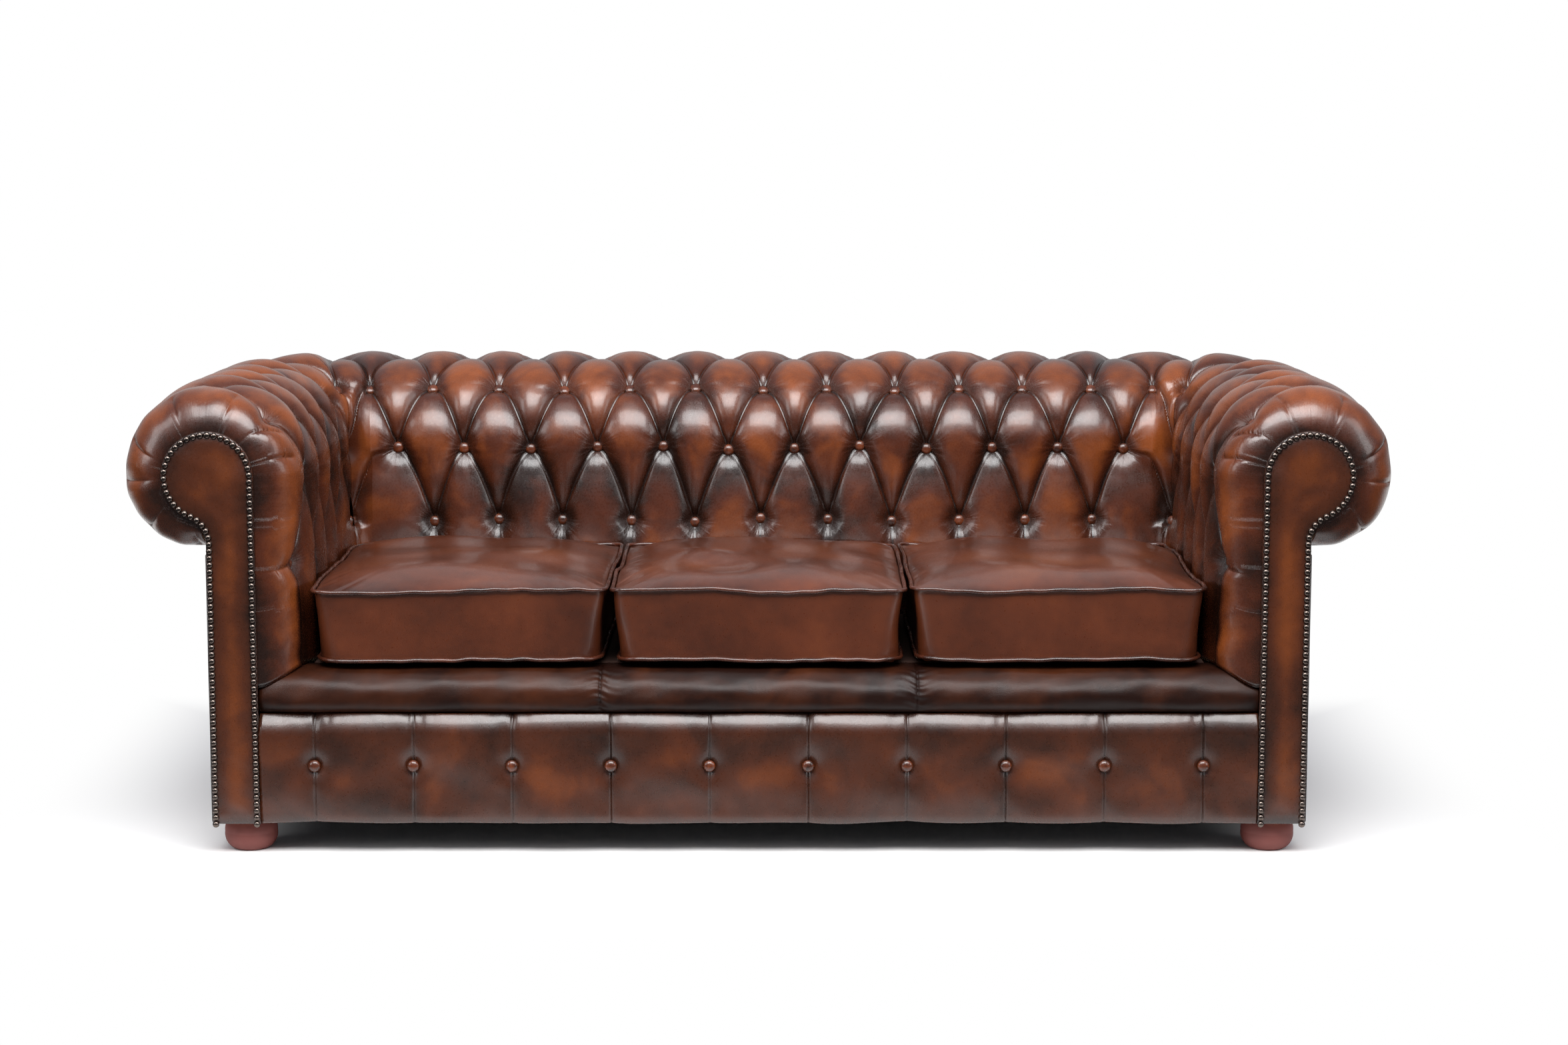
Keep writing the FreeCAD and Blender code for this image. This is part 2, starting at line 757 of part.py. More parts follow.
def cushion_form(x, inset):
    """Crowned cushion with drawn-in sides, lofted through level rings; inset makes the form inside its leather."""
    shares = (0.0, 0.3, 0.55, 0.75, 0.9, 0.98)
    half_x = cushion_half_x - inset
    half_d = cushion_half_d - inset
    rings = []

    def ring(z, size, drawn):
        reach_x = half_x * size - drawn
        corner = cushion_corner + (0.8 * reach_x - cushion_corner) * (1 - size)
        rings.append(rounded_ring(x, z, reach_x, half_d * size - drawn, corner))

    for share in reversed(shares):
        ring(cushion_low + inset - cushion_sag * share, (1 - share) ** 0.38, 0.0)
    middle = (cushion_low + cushion_high) / 2
    quarter = (cushion_high - cushion_low) / 4
    ring(middle - quarter, 1.0, draw_in * 0.75)
    ring(middle, 1.0, draw_in)
    ring(middle + quarter, 1.0, draw_in * 0.75)
    for share in shares:
        ring(cushion_high - inset + cushion_crown * share, (1 - share) ** 0.38, 0.0)
    return skin(rings)


def cushion_piping(x, z):
    grow = piping_diameter / 2 + clearance
    path = rounded_ring(x, z, cushion_half_x + grow, cushion_half_d + grow, cushion_corner + grow)
    first = path.Edges[0]
    start = first.valueAt(first.FirstParameter)
    tangent = first.tangentAt(first.FirstParameter)
    ring = Part.Wire(Part.makeCircle(piping_diameter / 2, start, tangent))
    return path.makePipeShell([ring], True, False)


# Feet

def bun_foot(x, d):
    base = foot_base_diameter / 2
    top = foot_top_diameter / 2
    belly = foot_diameter / 2
    middle = foot_height / 2
    bend = belly - (belly - min(base, top)) * 0.12
    edges = [line(Vector(0, 0, 0), Vector(base, 0, 0)),
             arc(Vector(base, 0, 0), Vector(bend, 0, middle * 0.5), Vector(belly, 0, middle)),
             arc(Vector(belly, 0, middle), Vector(bend, 0, middle * 1.5), Vector(top, 0, foot_height)),
             line(Vector(top, 0, foot_height), Vector(0, 0, foot_height)),
             line(Vector(0, 0, foot_height), Vector(0, 0, 0))]
    foot = Part.Face(Part.Wire(edges)).revolve(Vector(0, 0, 0), Vector(0, 0, 1), 360)
    foot.translate(at(x, d, 0))
    return foot.cut(bolt(x, d, bolt_diameter / 2))


def dust_cover():
    reach = half_width + frame_out - dust_cover_margin
    low = rail_bottom - clearance - dust_cover_thickness
    sheet = box(-reach, reach, front_rail_depth + dust_cover_margin, back_rail_back - dust_cover_margin,
                low, low + dust_cover_thickness)
    return sheet.cut([bolt(x, d, bolt_diameter / 2) for _, x, d in foot_places()])


def build():
    os.makedirs("parts", exist_ok=True)
    for name, side in sides:
        panel = front_panel(side)
        rail = arm_top_rail(side)
        post = back_post(side)
        corner = top_corner(side)
        upright = arm_upright(side)
        save("arm_front_panel_" + name, panel)
        save("side_rail_" + name, side_rail(side))
        save("arm_tacking_rail_" + name, arm_tacking_rail(side))
        save("arm_top_rail_" + name, rail)
        save("arm_upright_" + name, upright)
        save("back_post_" + name, post)
        save("top_corner_block_" + name, corner)
        save("arm_foam_" + name, arm_foam(side).cut([rail, post, corner, upright]))
        save("arm_cover_" + name, arm_cover(side))
        save("arm_buttons_" + name, *[stand(button, *seat) for seat in arm_seats(side)])
        save("arm_facing_" + name, arm_facing(side))
        save("facing_nails_" + name, *facing_nails(side))
        save("outside_arm_" + name, side_box(side, panel_in, panel_out, facing_gap + clearance,
                                             back_rail_back, base_height, outer_top))

    reach = half_width + front_panel_inner
    save("front_rail", box(-reach, reach, front_rail_depth, front_rail_back, rail_bottom, front_rail_top))
    save("back_rail", back_rail(rail_bottom, rail_top))
    save("back_tacking_rail", back_rail(tacking_low, tacking_high))
    save("back_top_rail", back_top_rail())
    save("back_uprights", *back_uprights())
    half = crossmember_thickness / 2
    save("seat_crossmembers", *[box(x - half, x + half, front_rail_back, back_rail_front, rail_bottom,
                                    rail_bottom + crossmember_height) for x in (-crossmember_x, crossmember_x)])
    save("corner_blocks", *corner_blocks())

    spring = zigzag_spring()
    springs = []
    for x in spring_places:
        copy = spring.copy()
        copy.translate(at(x, front_clip_d, front_rail_top + wire_lift))
        springs.append(copy)
    save("seat_springs", *springs)
    save("spring_clips", *[clip(x, d, rail) for x in spring_places
                           for d, rail in ((front_clip_d, front_rail_top), (back_clip_d, rail_top))])
    save("seat_pad", seat_pad())
    save("seat_platform_cloth", seat_block(seat_height - platform_cloth, seat_height))
    save("front_lip", front_lip())
    save("front_border", front_border())
    save("border_buttons", *[stand(button, at(x, border_front + border_puff, border_button_height),
                                   Vector(0, -1, 0)) for x in border_places])

    frame_parts = [back_top_rail()] + back_uprights()
    frame_parts += [shape(side) for _, side in sides for shape in (top_corner, back_post)]
    save("back_foam", back_foam().cut(frame_parts))
    save("back_cover", back_cover())
    save("back_buttons", *[stand(button, *seat) for seat in back_seats()])
    reach = half_width + panel_out
    save("outside_back", box(-reach, reach, inside_depth + panel_in, inside_depth + panel_out,
                             base_height, outer_top))

    for name, x in zip(("left", "middle", "right"), cushion_places):
        whole = cushion_form(x, 0.0)
        save("cushion_cover_" + name, whole.cut(cushion_form(x, cushion_leather)))
        save("cushion_foam_" + name, cushion_form(x, cushion_leather + clearance))
        save("cushion_piping_" + name, cushion_piping(x, cushion_low), cushion_piping(x, cushion_high))

    save("dust_cover", dust_cover())
    for name, x, d in foot_places():
        save("foot_" + name, bun_foot(x, d))
    save("foot_bolts", *[bolt(x, d, bolt_diameter / 2) for _, x, d in foot_places()])


if __name__ == "__main__":
    build()
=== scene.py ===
import math
import bmesh
import bpy
import numpy as np
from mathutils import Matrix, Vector
from mathutils.geometry import delaunay_2d_cdt


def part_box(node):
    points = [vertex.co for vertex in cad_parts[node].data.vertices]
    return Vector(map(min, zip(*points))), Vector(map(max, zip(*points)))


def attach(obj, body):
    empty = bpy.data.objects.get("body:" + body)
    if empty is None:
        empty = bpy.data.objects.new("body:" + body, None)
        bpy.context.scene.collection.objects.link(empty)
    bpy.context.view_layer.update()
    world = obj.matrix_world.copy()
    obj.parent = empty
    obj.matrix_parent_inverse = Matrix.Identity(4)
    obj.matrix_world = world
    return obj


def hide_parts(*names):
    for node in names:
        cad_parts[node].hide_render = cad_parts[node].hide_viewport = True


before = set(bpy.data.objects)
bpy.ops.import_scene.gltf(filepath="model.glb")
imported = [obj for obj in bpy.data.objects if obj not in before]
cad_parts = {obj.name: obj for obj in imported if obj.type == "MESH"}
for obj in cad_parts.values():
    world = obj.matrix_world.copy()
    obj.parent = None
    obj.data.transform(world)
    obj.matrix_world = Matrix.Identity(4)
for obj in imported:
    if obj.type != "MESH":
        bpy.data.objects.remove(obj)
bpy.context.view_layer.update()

# Sizes of the sofa, in metres, the same as in the part's source. x runs to the right, depth d back from the front
# plane, z up. On a padded section, n runs outwards from the inner face and t along its outline from where the roll
# starts.
HALF_WIDTH = 0.727            # from the middle to the padded face of an arm
INSIDE_DEPTH = 0.590
CORNER = 0.030                # plan radius where arm and back meet
ROLL = 0.149                  # radius of the roll, up to its outer side
ROLL_HEIGHT = 0.614           # of the roll's centre
UNDER_ROLL = 0.122            # radius of the roll's underside
UNDER_TURN = math.radians(101.5)
PITCH = 0.1184                # between the buttons of one row
ROW = 0.131                   # between rows
ROWS = 4
FIRST_ROW = 0.467 - ROLL_HEIGHT
LAST_COLUMN = 14              # half pitches to the corner mitre
FIRST_COLUMN = 4
FIRST_DEPTH = 0.070           # of an arm's first buttons behind the front plane
FRONT_Y = -0.4424             # of the front plane
BASE = 0.052                  # underside of the border and the facings
FACING_GAP = 0.008            # from the front plane to the arm's padding
FRONT_ROUND = 0.062
FACING_RADIUS = 0.0735
STEM_OUT = 0.153
NECK = 0.042                  # radius of the hollow between scroll and stem
SEAT = 0.300
LIP_LOW = 0.231
LIP_FRONT = 0.004             # of the lip behind the front plane
LIP_ROUND = 0.046             # radius of its upper edge
LIP_BACK = 0.0987
HALF_PITCH = PITCH / 2
CORNER_X = HALF_WIDTH - CORNER
CORNER_D = INSIDE_DEPTH - CORNER
CREST_ARC = math.pi * ROLL
END_T = CREST_ARC + UNDER_TURN * UNDER_ROLL
BACK_CORNER = CORNER_X / HALF_PITCH
ARM_CORNER = FIRST_COLUMN + (CORNER_D - FIRST_DEPTH) / HALF_PITCH
STEM_IN = ROLL - FACING_RADIUS
SIDES = {-1: "left", 1: "right"}


# Colours and nodes

def linear(code):
    """sRGB hex colour as linear red, green, blue and alpha."""
    parts = [int(code[k:k + 2], 16) / 255 for k in (1, 3, 5)]
    return tuple(c / 12.92 if c <= 0.04045 else ((c + 0.055) / 1.055) ** 2.4 for c in parts) + (1.0,)


def add(tree, kind, inputs=None, stops=(), **settings):
    """Adds a node with its settings; inputs are values, or (node, output) pairs to link. stops are the places and
    colours of a ramp."""
    made = tree.nodes.new(kind)
    for name, value in settings.items():
        setattr(made, name, value)
    for name, value in (inputs or {}).items():
        socket = made.inputs[name]
        if isinstance(value, tuple) and len(value) == 2 and hasattr(value[0], "outputs"):
            tree.links.new(value[0].outputs[value[1]], socket)
        else:
            socket.default_value = value
    if stops:
        points = made.color_ramp.elements
        while len(points) < len(stops):
            points.new(0.5)
        for point, (place, colour) in zip(points, stops):
            point.position = place
            point.color = colour
    return made


def material(name):
    made = bpy.data.materials.new(name)
    made.use_nodes = True
    tree = made.node_tree
    tree.nodes.clear()
    return made, tree, add(tree, "ShaderNodeOutputMaterial")


def leather(name, dark, middle, light, lift=0.0, patch=0.09, rough=0.27, grain=1.0, cloudy=1.0,
            coat=0.5, gloss=0.5):
    """Corrected-grain cowhide, sprayed dark and wiped back by hand so that the raised parts show the lighter base
    coat: a glossy finish with fine pebbled grain and small crinkles where it is pulled in.

    Of each point it reads a value of how far it is wiped, which on several pieces also holds painted shade and
    painted highlight, spoke (its place round the nearest button) and pull (how hard the button pulls it in). lift
    wipes the whole skin further, and patch is the size of its clouds."""
    made, tree, out = material(name)
    place = (add(tree, "ShaderNodeTexCoord"), "Object")
    wear = add(tree, "ShaderNodeAttribute", attribute_name="wear")
    spoke = add(tree, "ShaderNodeAttribute", attribute_name="spoke")
    pull = add(tree, "ShaderNodeAttribute", attribute_name="pull")
    cloud = add(tree, "ShaderNodeTexNoise", {"Vector": place, "Scale": 1 / patch, "Detail": 3.0, "Roughness": 0.55,
                                             "Distortion": 0.6})
    # Streaks of about 18 mm from the wiping
    streak = add(tree, "ShaderNodeTexNoise", {"Vector": place, "Scale": 55.0, "Detail": 4.0, "Roughness": 0.6})
    soft = add(tree, "ShaderNodeMath", {0: (cloud, "Fac"), 1: 1.3 * cloudy, 2: lift - 0.65 * cloudy},
               operation="MULTIPLY_ADD")
    fine = add(tree, "ShaderNodeMath", {0: (streak, "Fac"), 1: 0.26, 2: -0.13}, operation="MULTIPLY_ADD")
    both = add(tree, "ShaderNodeMath", {0: (soft, 0), 1: (fine, 0)}, operation="ADD")
    total = add(tree, "ShaderNodeMath", {0: (both, 0), 1: (wear, "Fac")}, operation="ADD")
    colour = add(tree, "ShaderNodeValToRGB", {"Fac": (total, 0)},
                 ((0.0, linear(dark)), (0.45, linear(middle)), (1.0, linear(light))))
    # Pebbled grain of about 1.1 mm, drawn at 1.6 mm so that it shows
    cells = add(tree, "ShaderNodeTexVoronoi", {"Vector": place, "Scale": 620.0}, feature="DISTANCE_TO_EDGE")
    pores = add(tree, "ShaderNodeTexNoise", {"Vector": place, "Scale": 260.0, "Detail": 5.0, "Roughness": 0.65})
    edge = add(tree, "ShaderNodeMath", {0: (cells, "Distance"), 1: 3.2}, operation="MULTIPLY")
    flat = add(tree, "ShaderNodeMath", {0: (edge, 0), 1: 1.0}, operation="MINIMUM")
    skin = add(tree, "ShaderNodeMath", {0: (flat, 0), 1: (pores, "Fac")}, operation="ADD")
    crinkle = add(tree, "ShaderNodeTexNoise", {"Vector": (spoke, "Vector"), "Scale": 1.0, "Detail": 3.0,
                                               "Roughness": 0.6})
    crinkled = add(tree, "ShaderNodeMath", {0: (crinkle, "Fac"), 1: (pull, "Fac")}, operation="MULTIPLY")
    fine_bump = add(tree, "ShaderNodeBump", {"Height": (skin, 0), "Strength": 0.13 * grain, "Distance": 0.0010})
    bump = add(tree, "ShaderNodeBump", {"Height": (crinkled, 0), "Strength": 0.55, "Distance": 0.005,
                                        "Normal": (fine_bump, "Normal")})
    shine = add(tree, "ShaderNodeMapRange", {"Value": (pores, "Fac"), "From Min": 0.3, "From Max": 0.7,
                                             "To Min": rough - 0.05, "To Max": rough + 0.08})
    shader = add(tree, "ShaderNodeBsdfPrincipled", {
        "Base Color": (colour, "Color"), "Roughness": (shine, "Result"), "Normal": (bump, "Normal"),
        "IOR": 1.5, "Coat Weight": coat, "Coat Roughness": 0.16, "Specular IOR Level": gloss})
    tree.links.new(shader.outputs["BSDF"], out.inputs["Surface"])
    return made


def plain(name, code, rough, metallic=0.0, scale=300.0, change=0.12):
    """Finish with a slight variation of its colour and a fine surface."""
    made, tree, out = material(name)
    place = (add(tree, "ShaderNodeTexCoord"), "Object")
    cloud = add(tree, "ShaderNodeTexNoise", {"Vector": place, "Scale": scale, "Detail": 4.0})
    base = linear(code)
    dark = tuple(c * (1 - change) for c in base[:3]) + (1.0,)
    pale = tuple(min(1, c * (1 + change)) for c in base[:3]) + (1.0,)
    colour = add(tree, "ShaderNodeValToRGB", {"Fac": (cloud, "Fac")}, ((0.3, dark), (0.7, pale)))
    bump = add(tree, "ShaderNodeBump", {"Height": (cloud, "Fac"), "Strength": 0.1, "Distance": 0.0005})
    shader = add(tree, "ShaderNodeBsdfPrincipled", {
        "Base Color": (colour, "Color"), "Metallic": metallic, "Roughness": rough, "Normal": (bump, "Normal")})
    tree.links.new(shader.outputs["BSDF"], out.inputs["Surface"])
    return made


tufted_leather = leather("Hand_wiped_cowhide_tufted", "#1f0d06", "#4a2110", "#80411b")
seat_leather = leather("Hand_wiped_cowhide_seat", "#32150a", "#5c2c17", "#7e4320", lift=0.36, patch=0.16, rough=0.31,
                       cloudy=0.7)
panel_leather = leather("Hand_wiped_cowhide_panels", "#200e06", "#47210f", "#743a17", lift=0.30, patch=0.11,
                        rough=0.29, cloudy=0.8)
lip_leather = leather("Hand_wiped_cowhide_lip", "#1c0b06", "#43200f", "#74391a", lift=0.34, patch=0.14, rough=0.36,
                      coat=0.0, gloss=0.24)
button_leather = leather("Hand_wiped_cowhide_buttons", "#2a120a", "#6b3319", "#94522a", lift=0.22, patch=0.02,
                         grain=0.5)
piping_leather = leather("Hand_wiped_cowhide_piping", "#2c140c", "#54291a", "#7e4526", lift=0.22, patch=0.06,
                         grain=0.5)
# Nail heads of steel, blackened and brushed back: bright metal with dark patches
nail_metal = plain("Antiqued_steel_nail_heads", "#665c56", 0.22, metallic=1.0, scale=900.0, change=0.30)
# Soft goods that only show when a cushion is lifted or from below: all matt
foam = plain("Polyether_foam", "#e8dcb8", 0.9, scale=700.0)
black_cloth = plain("Spunbond_dust_cloth", "#111111", 0.9, scale=1500.0)
platform_cloth = plain("Woven_platform_cloth", "#3a2218", 0.85, scale=1200.0)


# Mesh helpers

def mesh_object(name, points, faces, finish, body, *nodes, smooth=True, values=None):
    """Piece that rides a body and stands for the given nodes; values are attributes of its points."""
    mesh = bpy.data.meshes.new(name)
    mesh.from_pydata([tuple(p) for p in points], [], [tuple(int(i) for i in f) for f in faces])
    mesh.validate()
    for key, data in (values or {}).items():
        data = np.asarray(data, dtype=np.float32)
        kind, field = ("FLOAT", "value") if data.ndim == 1 else ("FLOAT_VECTOR", "vector")
        mesh.attributes.new(key, kind, "POINT").data.foreach_set(field, data.ravel())
    mesh.polygons.foreach_set("use_smooth", [smooth] * len(mesh.polygons))
    mesh.materials.append(finish)
    made = bpy.data.objects.new(name, mesh)
    bpy.context.scene.collection.objects.link(made)
    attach(made, body)
    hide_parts(*nodes)
    face_outwards(made)
    return made


def face_outwards(piece):
    mesh = bmesh.new()
    mesh.from_mesh(piece.data)
    bmesh.ops.recalc_face_normals(mesh, faces=mesh.faces)
    mesh.to_mesh(piece.data)
    mesh.free()


def grid_faces(rows, columns, flip=False):
    """Quads of a grid stored row by row."""
    i = np.arange(rows - 1)[:, None]
    j = np.arange(columns - 1)[None, :]
    first = i * columns + j
    quads = np.stack([first, first + 1, first + columns + 1, first + columns], -1).reshape(-1, 4)
    return quads[:, ::-1] if flip else quads


def creased_faces(falling, columns):
    """Triangles of a grid, each quad split the way the pleat nearest to it runs, so that pleats have no steps."""
    a, b, c, d = grid_faces(falling.shape[0], columns).T
    rising = ~falling[:-1, :-1].ravel()[:, None]
    first = np.where(rising, np.stack([a, b, c], 1), np.stack([a, b, d], 1))
    second = np.where(rising, np.stack([a, c, d], 1), np.stack([b, c, d], 1))
    return [tuple(t) for t in np.concatenate([first, second])]


def close_shell(rows, columns, falling=None):
    """Faces of a shell whose rows run round its section: all round, and a cap on each end. falling has a row for
    each row of the shell's padded front."""
    if falling is None:
        faces = [tuple(q) for q in grid_faces(rows, columns)]
    else:
        front = falling.shape[0]
        faces = creased_faces(falling, columns)
        faces += [tuple(q + (front - 1) * columns) for q in grid_faces(rows - front + 1, columns)]
    last = (rows - 1) * columns
    faces += [(last + j, last + j + 1, j + 1, j) for j in range(columns - 1)]
    faces.append(tuple(i * columns for i in range(rows - 1, -1, -1)))
    faces.append(tuple(i * columns + columns - 1 for i in range(rows)))
    return faces


def ripple(u, v, seed, size):
    """Smooth pseudo-random field of about unit height and the given size in metres."""
    dice = np.random.default_rng(seed)
    total = np.zeros(np.broadcast(u, v).shape)
    for _ in range(7):
        angle = dice.uniform(0, 2 * math.pi)
        wave = 2 * math.pi / (size * dice.uniform(0.7, 1.6))
        total = total + np.sin(wave * (u * math.cos(angle) + v * math.sin(angle)) + dice.uniform(0, 2 * math.pi))
    return total / 2.6


def rounded_edge(share):
    """0 to 1 as share goes from 0 to 1, along a quarter of a circle that starts level."""
    return 1 - np.sqrt(np.clip(1 - share ** 2, 0, 1))


def eased(share):
    return share * share * (3 - 2 * share)


def sampled(stops, step):
    """Even samples of a path given densely, and their distances along it."""
    stops = np.array(stops)
    length = np.concatenate([[0], np.cumsum(np.hypot(*np.diff(stops, axis=0).T))])
    wanted = np.linspace(0, length[-1], max(3, int(length[-1] / step)))
    return np.stack([np.interp(wanted, length, stops[:, k]) for k in (0, 1)], 1), wanted


def fine_steps(low, high, coarse, marks, fine, reach):
    """Places from low to high, closer together near the marks."""
    places = set(np.round(np.arange(low, high, coarse), 5)) | {round(low, 5), round(high, 5)}
    for mark in marks:
        places |= set(np.round(np.arange(mark - reach, mark + reach + 1e-6, fine), 5))
    return np.array(sorted(p for p in places if low - 1e-6 <= p <= high + 1e-6))


# The padded sections of back and arms

def outline(t, inset):
    """Place (n, z) on a section's outline, at a depth under it: up the inner face, over the roll, under it."""
    t, inset = np.broadcast_arrays(np.asarray(t, float), np.asarray(inset, float))
    over = math.pi - t / ROLL
    under = -(t - CREST_ARC) / UNDER_ROLL
    n = np.where(t <= 0, inset, np.where(t <= CREST_ARC, ROLL + (ROLL - inset) * np.cos(over),
                                         2 * ROLL - UNDER_ROLL + (UNDER_ROLL - inset) * np.cos(under)))
    z = np.where(t <= 0, ROLL_HEIGHT + t, np.where(t <= CREST_ARC, ROLL_HEIGHT + (ROLL - inset) * np.sin(over),
                                                   ROLL_HEIGHT + (UNDER_ROLL - inset) * np.sin(under)))
    return n, z


def mitre_turn(column, corner):
    """Angle round the corner in plan, up to the mitre at 45 degrees."""
    return math.radians(45) * np.clip((column - corner) / (LAST_COLUMN - corner), 0, None)


def place_back(column, n, z):
    side = np.sign(column)
    size = np.abs(column)
    turn = mitre_turn(size, BACK_CORNER)
    straight = size <= BACK_CORNER
    x = np.where(straight, size * HALF_PITCH, CORNER_X + (CORNER + n) * np.sin(turn))
    d = np.where(straight, INSIDE_DEPTH + n, CORNER_D + (CORNER + n) * np.cos(turn))
    return np.stack([side * x, FRONT_Y + d, z], -1)


def arm_depth(column):
    return FIRST_DEPTH + (column - FIRST_COLUMN) * HALF_PITCH


def place_arm(column, n, z, side):
    turn = mitre_turn(column, ARM_CORNER)
    straight = column <= ARM_CORNER
    x = np.where(straight, HALF_WIDTH + n, CORNER_X + (CORNER + n) * np.cos(turn))
    d = np.where(straight, arm_depth(column), CORNER_D + (CORNER + n) * np.sin(turn))
    return np.stack([side * x, FRONT_Y + d, z], -1)


# Deep buttoning. A column is half a pitch, counted from the middle, and rows are counted from the lowest buttons.
# Buttons stand where column and row add up to an even number.

FINE = 22                     # mesh steps between buttons, both ways, so that mesh lines follow the pleats
PLEAT_DEPTH = 0.022
LOW_PLEAT = 0.006             # what is left of it below the lowest buttons
HIGH_PLEAT = 0.009            # and over the roll
BUTTON_DEPTH = 0.008          # deeper again round each button
BUTTON_IN = 0.0262            # middle of a covered button below the crest
BUTTON_RADIUS = 0.0100
BOW = 0.62                    # pleats leave the upper button flat and reach the lower one steeply
LOW_CORNER = 11               # last column of the open field in the lower rows
HIGH_CORNER = 12              # and in the rows above
LOW_ROWS = 26                 # mesh rows below the buttons
HIGH_ROWS = 64                # over the roll
INNER_ROWS = 14               # of the shell's hidden side
BACK_SEED = 21
ARM_SEEDS = {-1: 31, 1: 32}


def swell(share, power):
    return np.abs(np.sin(math.pi * share)) ** power


def tufted_grid(columns):
    """Columns and rows of the buttoned field's points, with mesh lines along the bowed pleats."""
    whole = np.arange(columns[0] * FINE, columns[1] * FINE + 1) / FINE
    rows = np.arange(0, (ROWS - 1) * FINE + 1) / FINE
    band = np.minimum(np.floor(rows), ROWS - 2)
    column, down = np.meshgrid(whole, 1 - (rows - band))   # down is 0 at the upper row of buttons, 1 at the lower
    parity = np.broadcast_to(((band + 1) % 2)[:, None], column.shape)
    near = 2 * np.round((column - parity) / 2) + parity    # the upper button's column
    across = np.abs(column - near)                         # straightened: the pleat lies where across equals down
    bow = np.power(np.clip(down, 1e-6, 1), BOW)
    inner = bow * across / np.maximum(down, 1e-9)
    outer = 1 - (1 - across) * (1 - bow) / np.maximum(1 - down, 1e-9)
    bent = np.where(across <= down, inner, outer)
    bent = np.where((down <= 0) | (down >= 1), across, bent)
    return near + np.sign(column - near) * bent, np.broadcast_to(rows[:, None], column.shape)


def button_list(columns):
    """Column and row of each button; beside the mitre of the lower rows there is no room for any."""
    found = []
    for column in range(columns[0], columns[1] + 1):
        for row in range(ROWS):
            crowded = LOW_CORNER < abs(column) < LAST_COLUMN and row < 2
            if (column + row) % 2 == 0 and not crowded:
                found.append((column, row))
    return found


def lattice(column, row):
    """Height share 0 to 1 of the puffs between bowed pleats. The arch below each upper button is the fuller."""
    band = np.clip(np.floor(row), 0, ROWS - 2)
    down = np.clip(1 - (row - band), 0, 1)
    parity = (band + 1) % 2
    near = 2 * np.round((column - parity) / 2) + parity
    side = np.where(column >= near, 1.0, -1.0)
    across = np.abs(column - near)
    bow = np.power(np.clip(down, 1e-9, 1), BOW)
    inner = down * across / np.maximum(bow, 1e-9)
    outer = 1 - (1 - across) * (1 - down) / np.maximum(1 - bow, 1e-9)
    straight = np.where(across <= bow, inner, outer)
    middle = near + side * straight
    a = (row + middle) / 2
    b = (row - middle) / 2
    full = np.where(straight < down, swell(a, 0.26) * swell(b, 0.26), swell(a, 0.37) * swell(b, 0.37))
    return 0.55 * full + 0.45 * swell(a, 0.60) * swell(b, 0.60)


def height(column, row):
    """The same, with the last puffs before the corner stretched out to the mitre as on the real corners."""
    size = np.abs(column)
    inside = np.clip(row, 0, ROWS - 1)
    open_field = lattice(size, inside)
    lower = lattice(np.where(size > LOW_CORNER, LOW_CORNER + (size - LOW_CORNER) / 3, size), inside)
    stretched = np.where(size > HIGH_CORNER, HIGH_CORNER + (size - HIGH_CORNER) / 2, size)
    upper = lattice(stretched, inside)
    at_one = lattice(stretched, np.full_like(inside, 1.0))
    mix = np.clip((inside - 0.6) / 0.4, 0, 1) ** 2 * np.clip((size - LOW_CORNER) / 0.8, 0, 1)
    low_band = (1 - mix) * lower + mix * at_one
    near_two = np.clip((inside - 1.7) / 0.3, 0, 1) ** 2
    corner = np.where(inside < 1, low_band, (1 - near_two) * upper + near_two * open_field)
    return np.where((size > LOW_CORNER) & (inside < 2), corner, open_field)


def wander(column, row, seed):
    """Small unevenness of hand work: shifts in half pitches and in rows, none at the mitre."""
    hold = np.clip((LAST_COLUMN - np.abs(column)) / 2, 0, 1)
    return 0.045 * ripple(column, row, seed, 3.1) * hold, 0.020 * ripple(column, row, seed + 1, 2.7) * hold


def nearest_button(u, v, spots):
    """Distance to the nearest button, and the way from it across and along."""
    best = np.full(u.shape, 9.0)
    across = np.zeros(u.shape)
    along = np.zeros(u.shape)
    for spot_column, spot_row in spots:
        du = u - spot_column * HALF_PITCH
        dv = v - spot_row * ROW
        far = np.hypot(du, dv)
        closer = far < best
        best = np.where(closer, far, best)
        across = np.where(closer, du, across)
        along = np.where(closer, dv, along)
    return best, across, along


def starburst(u, v, angle, seed):
    """Sum of waves round a button, for the creases that run out from it."""
    total = np.zeros(u.shape)
    dice = np.random.default_rng(seed)
    for waves in (7, 9, 11, 16):
        phase = dice.uniform(0, 6, 8)
        shift = phase[0] + 1.3 * np.sin(u * 31 + phase[1]) + 1.3 * np.sin(v * 29 + phase[2])
        total = total + np.sin(waves * angle + shift)
    return total


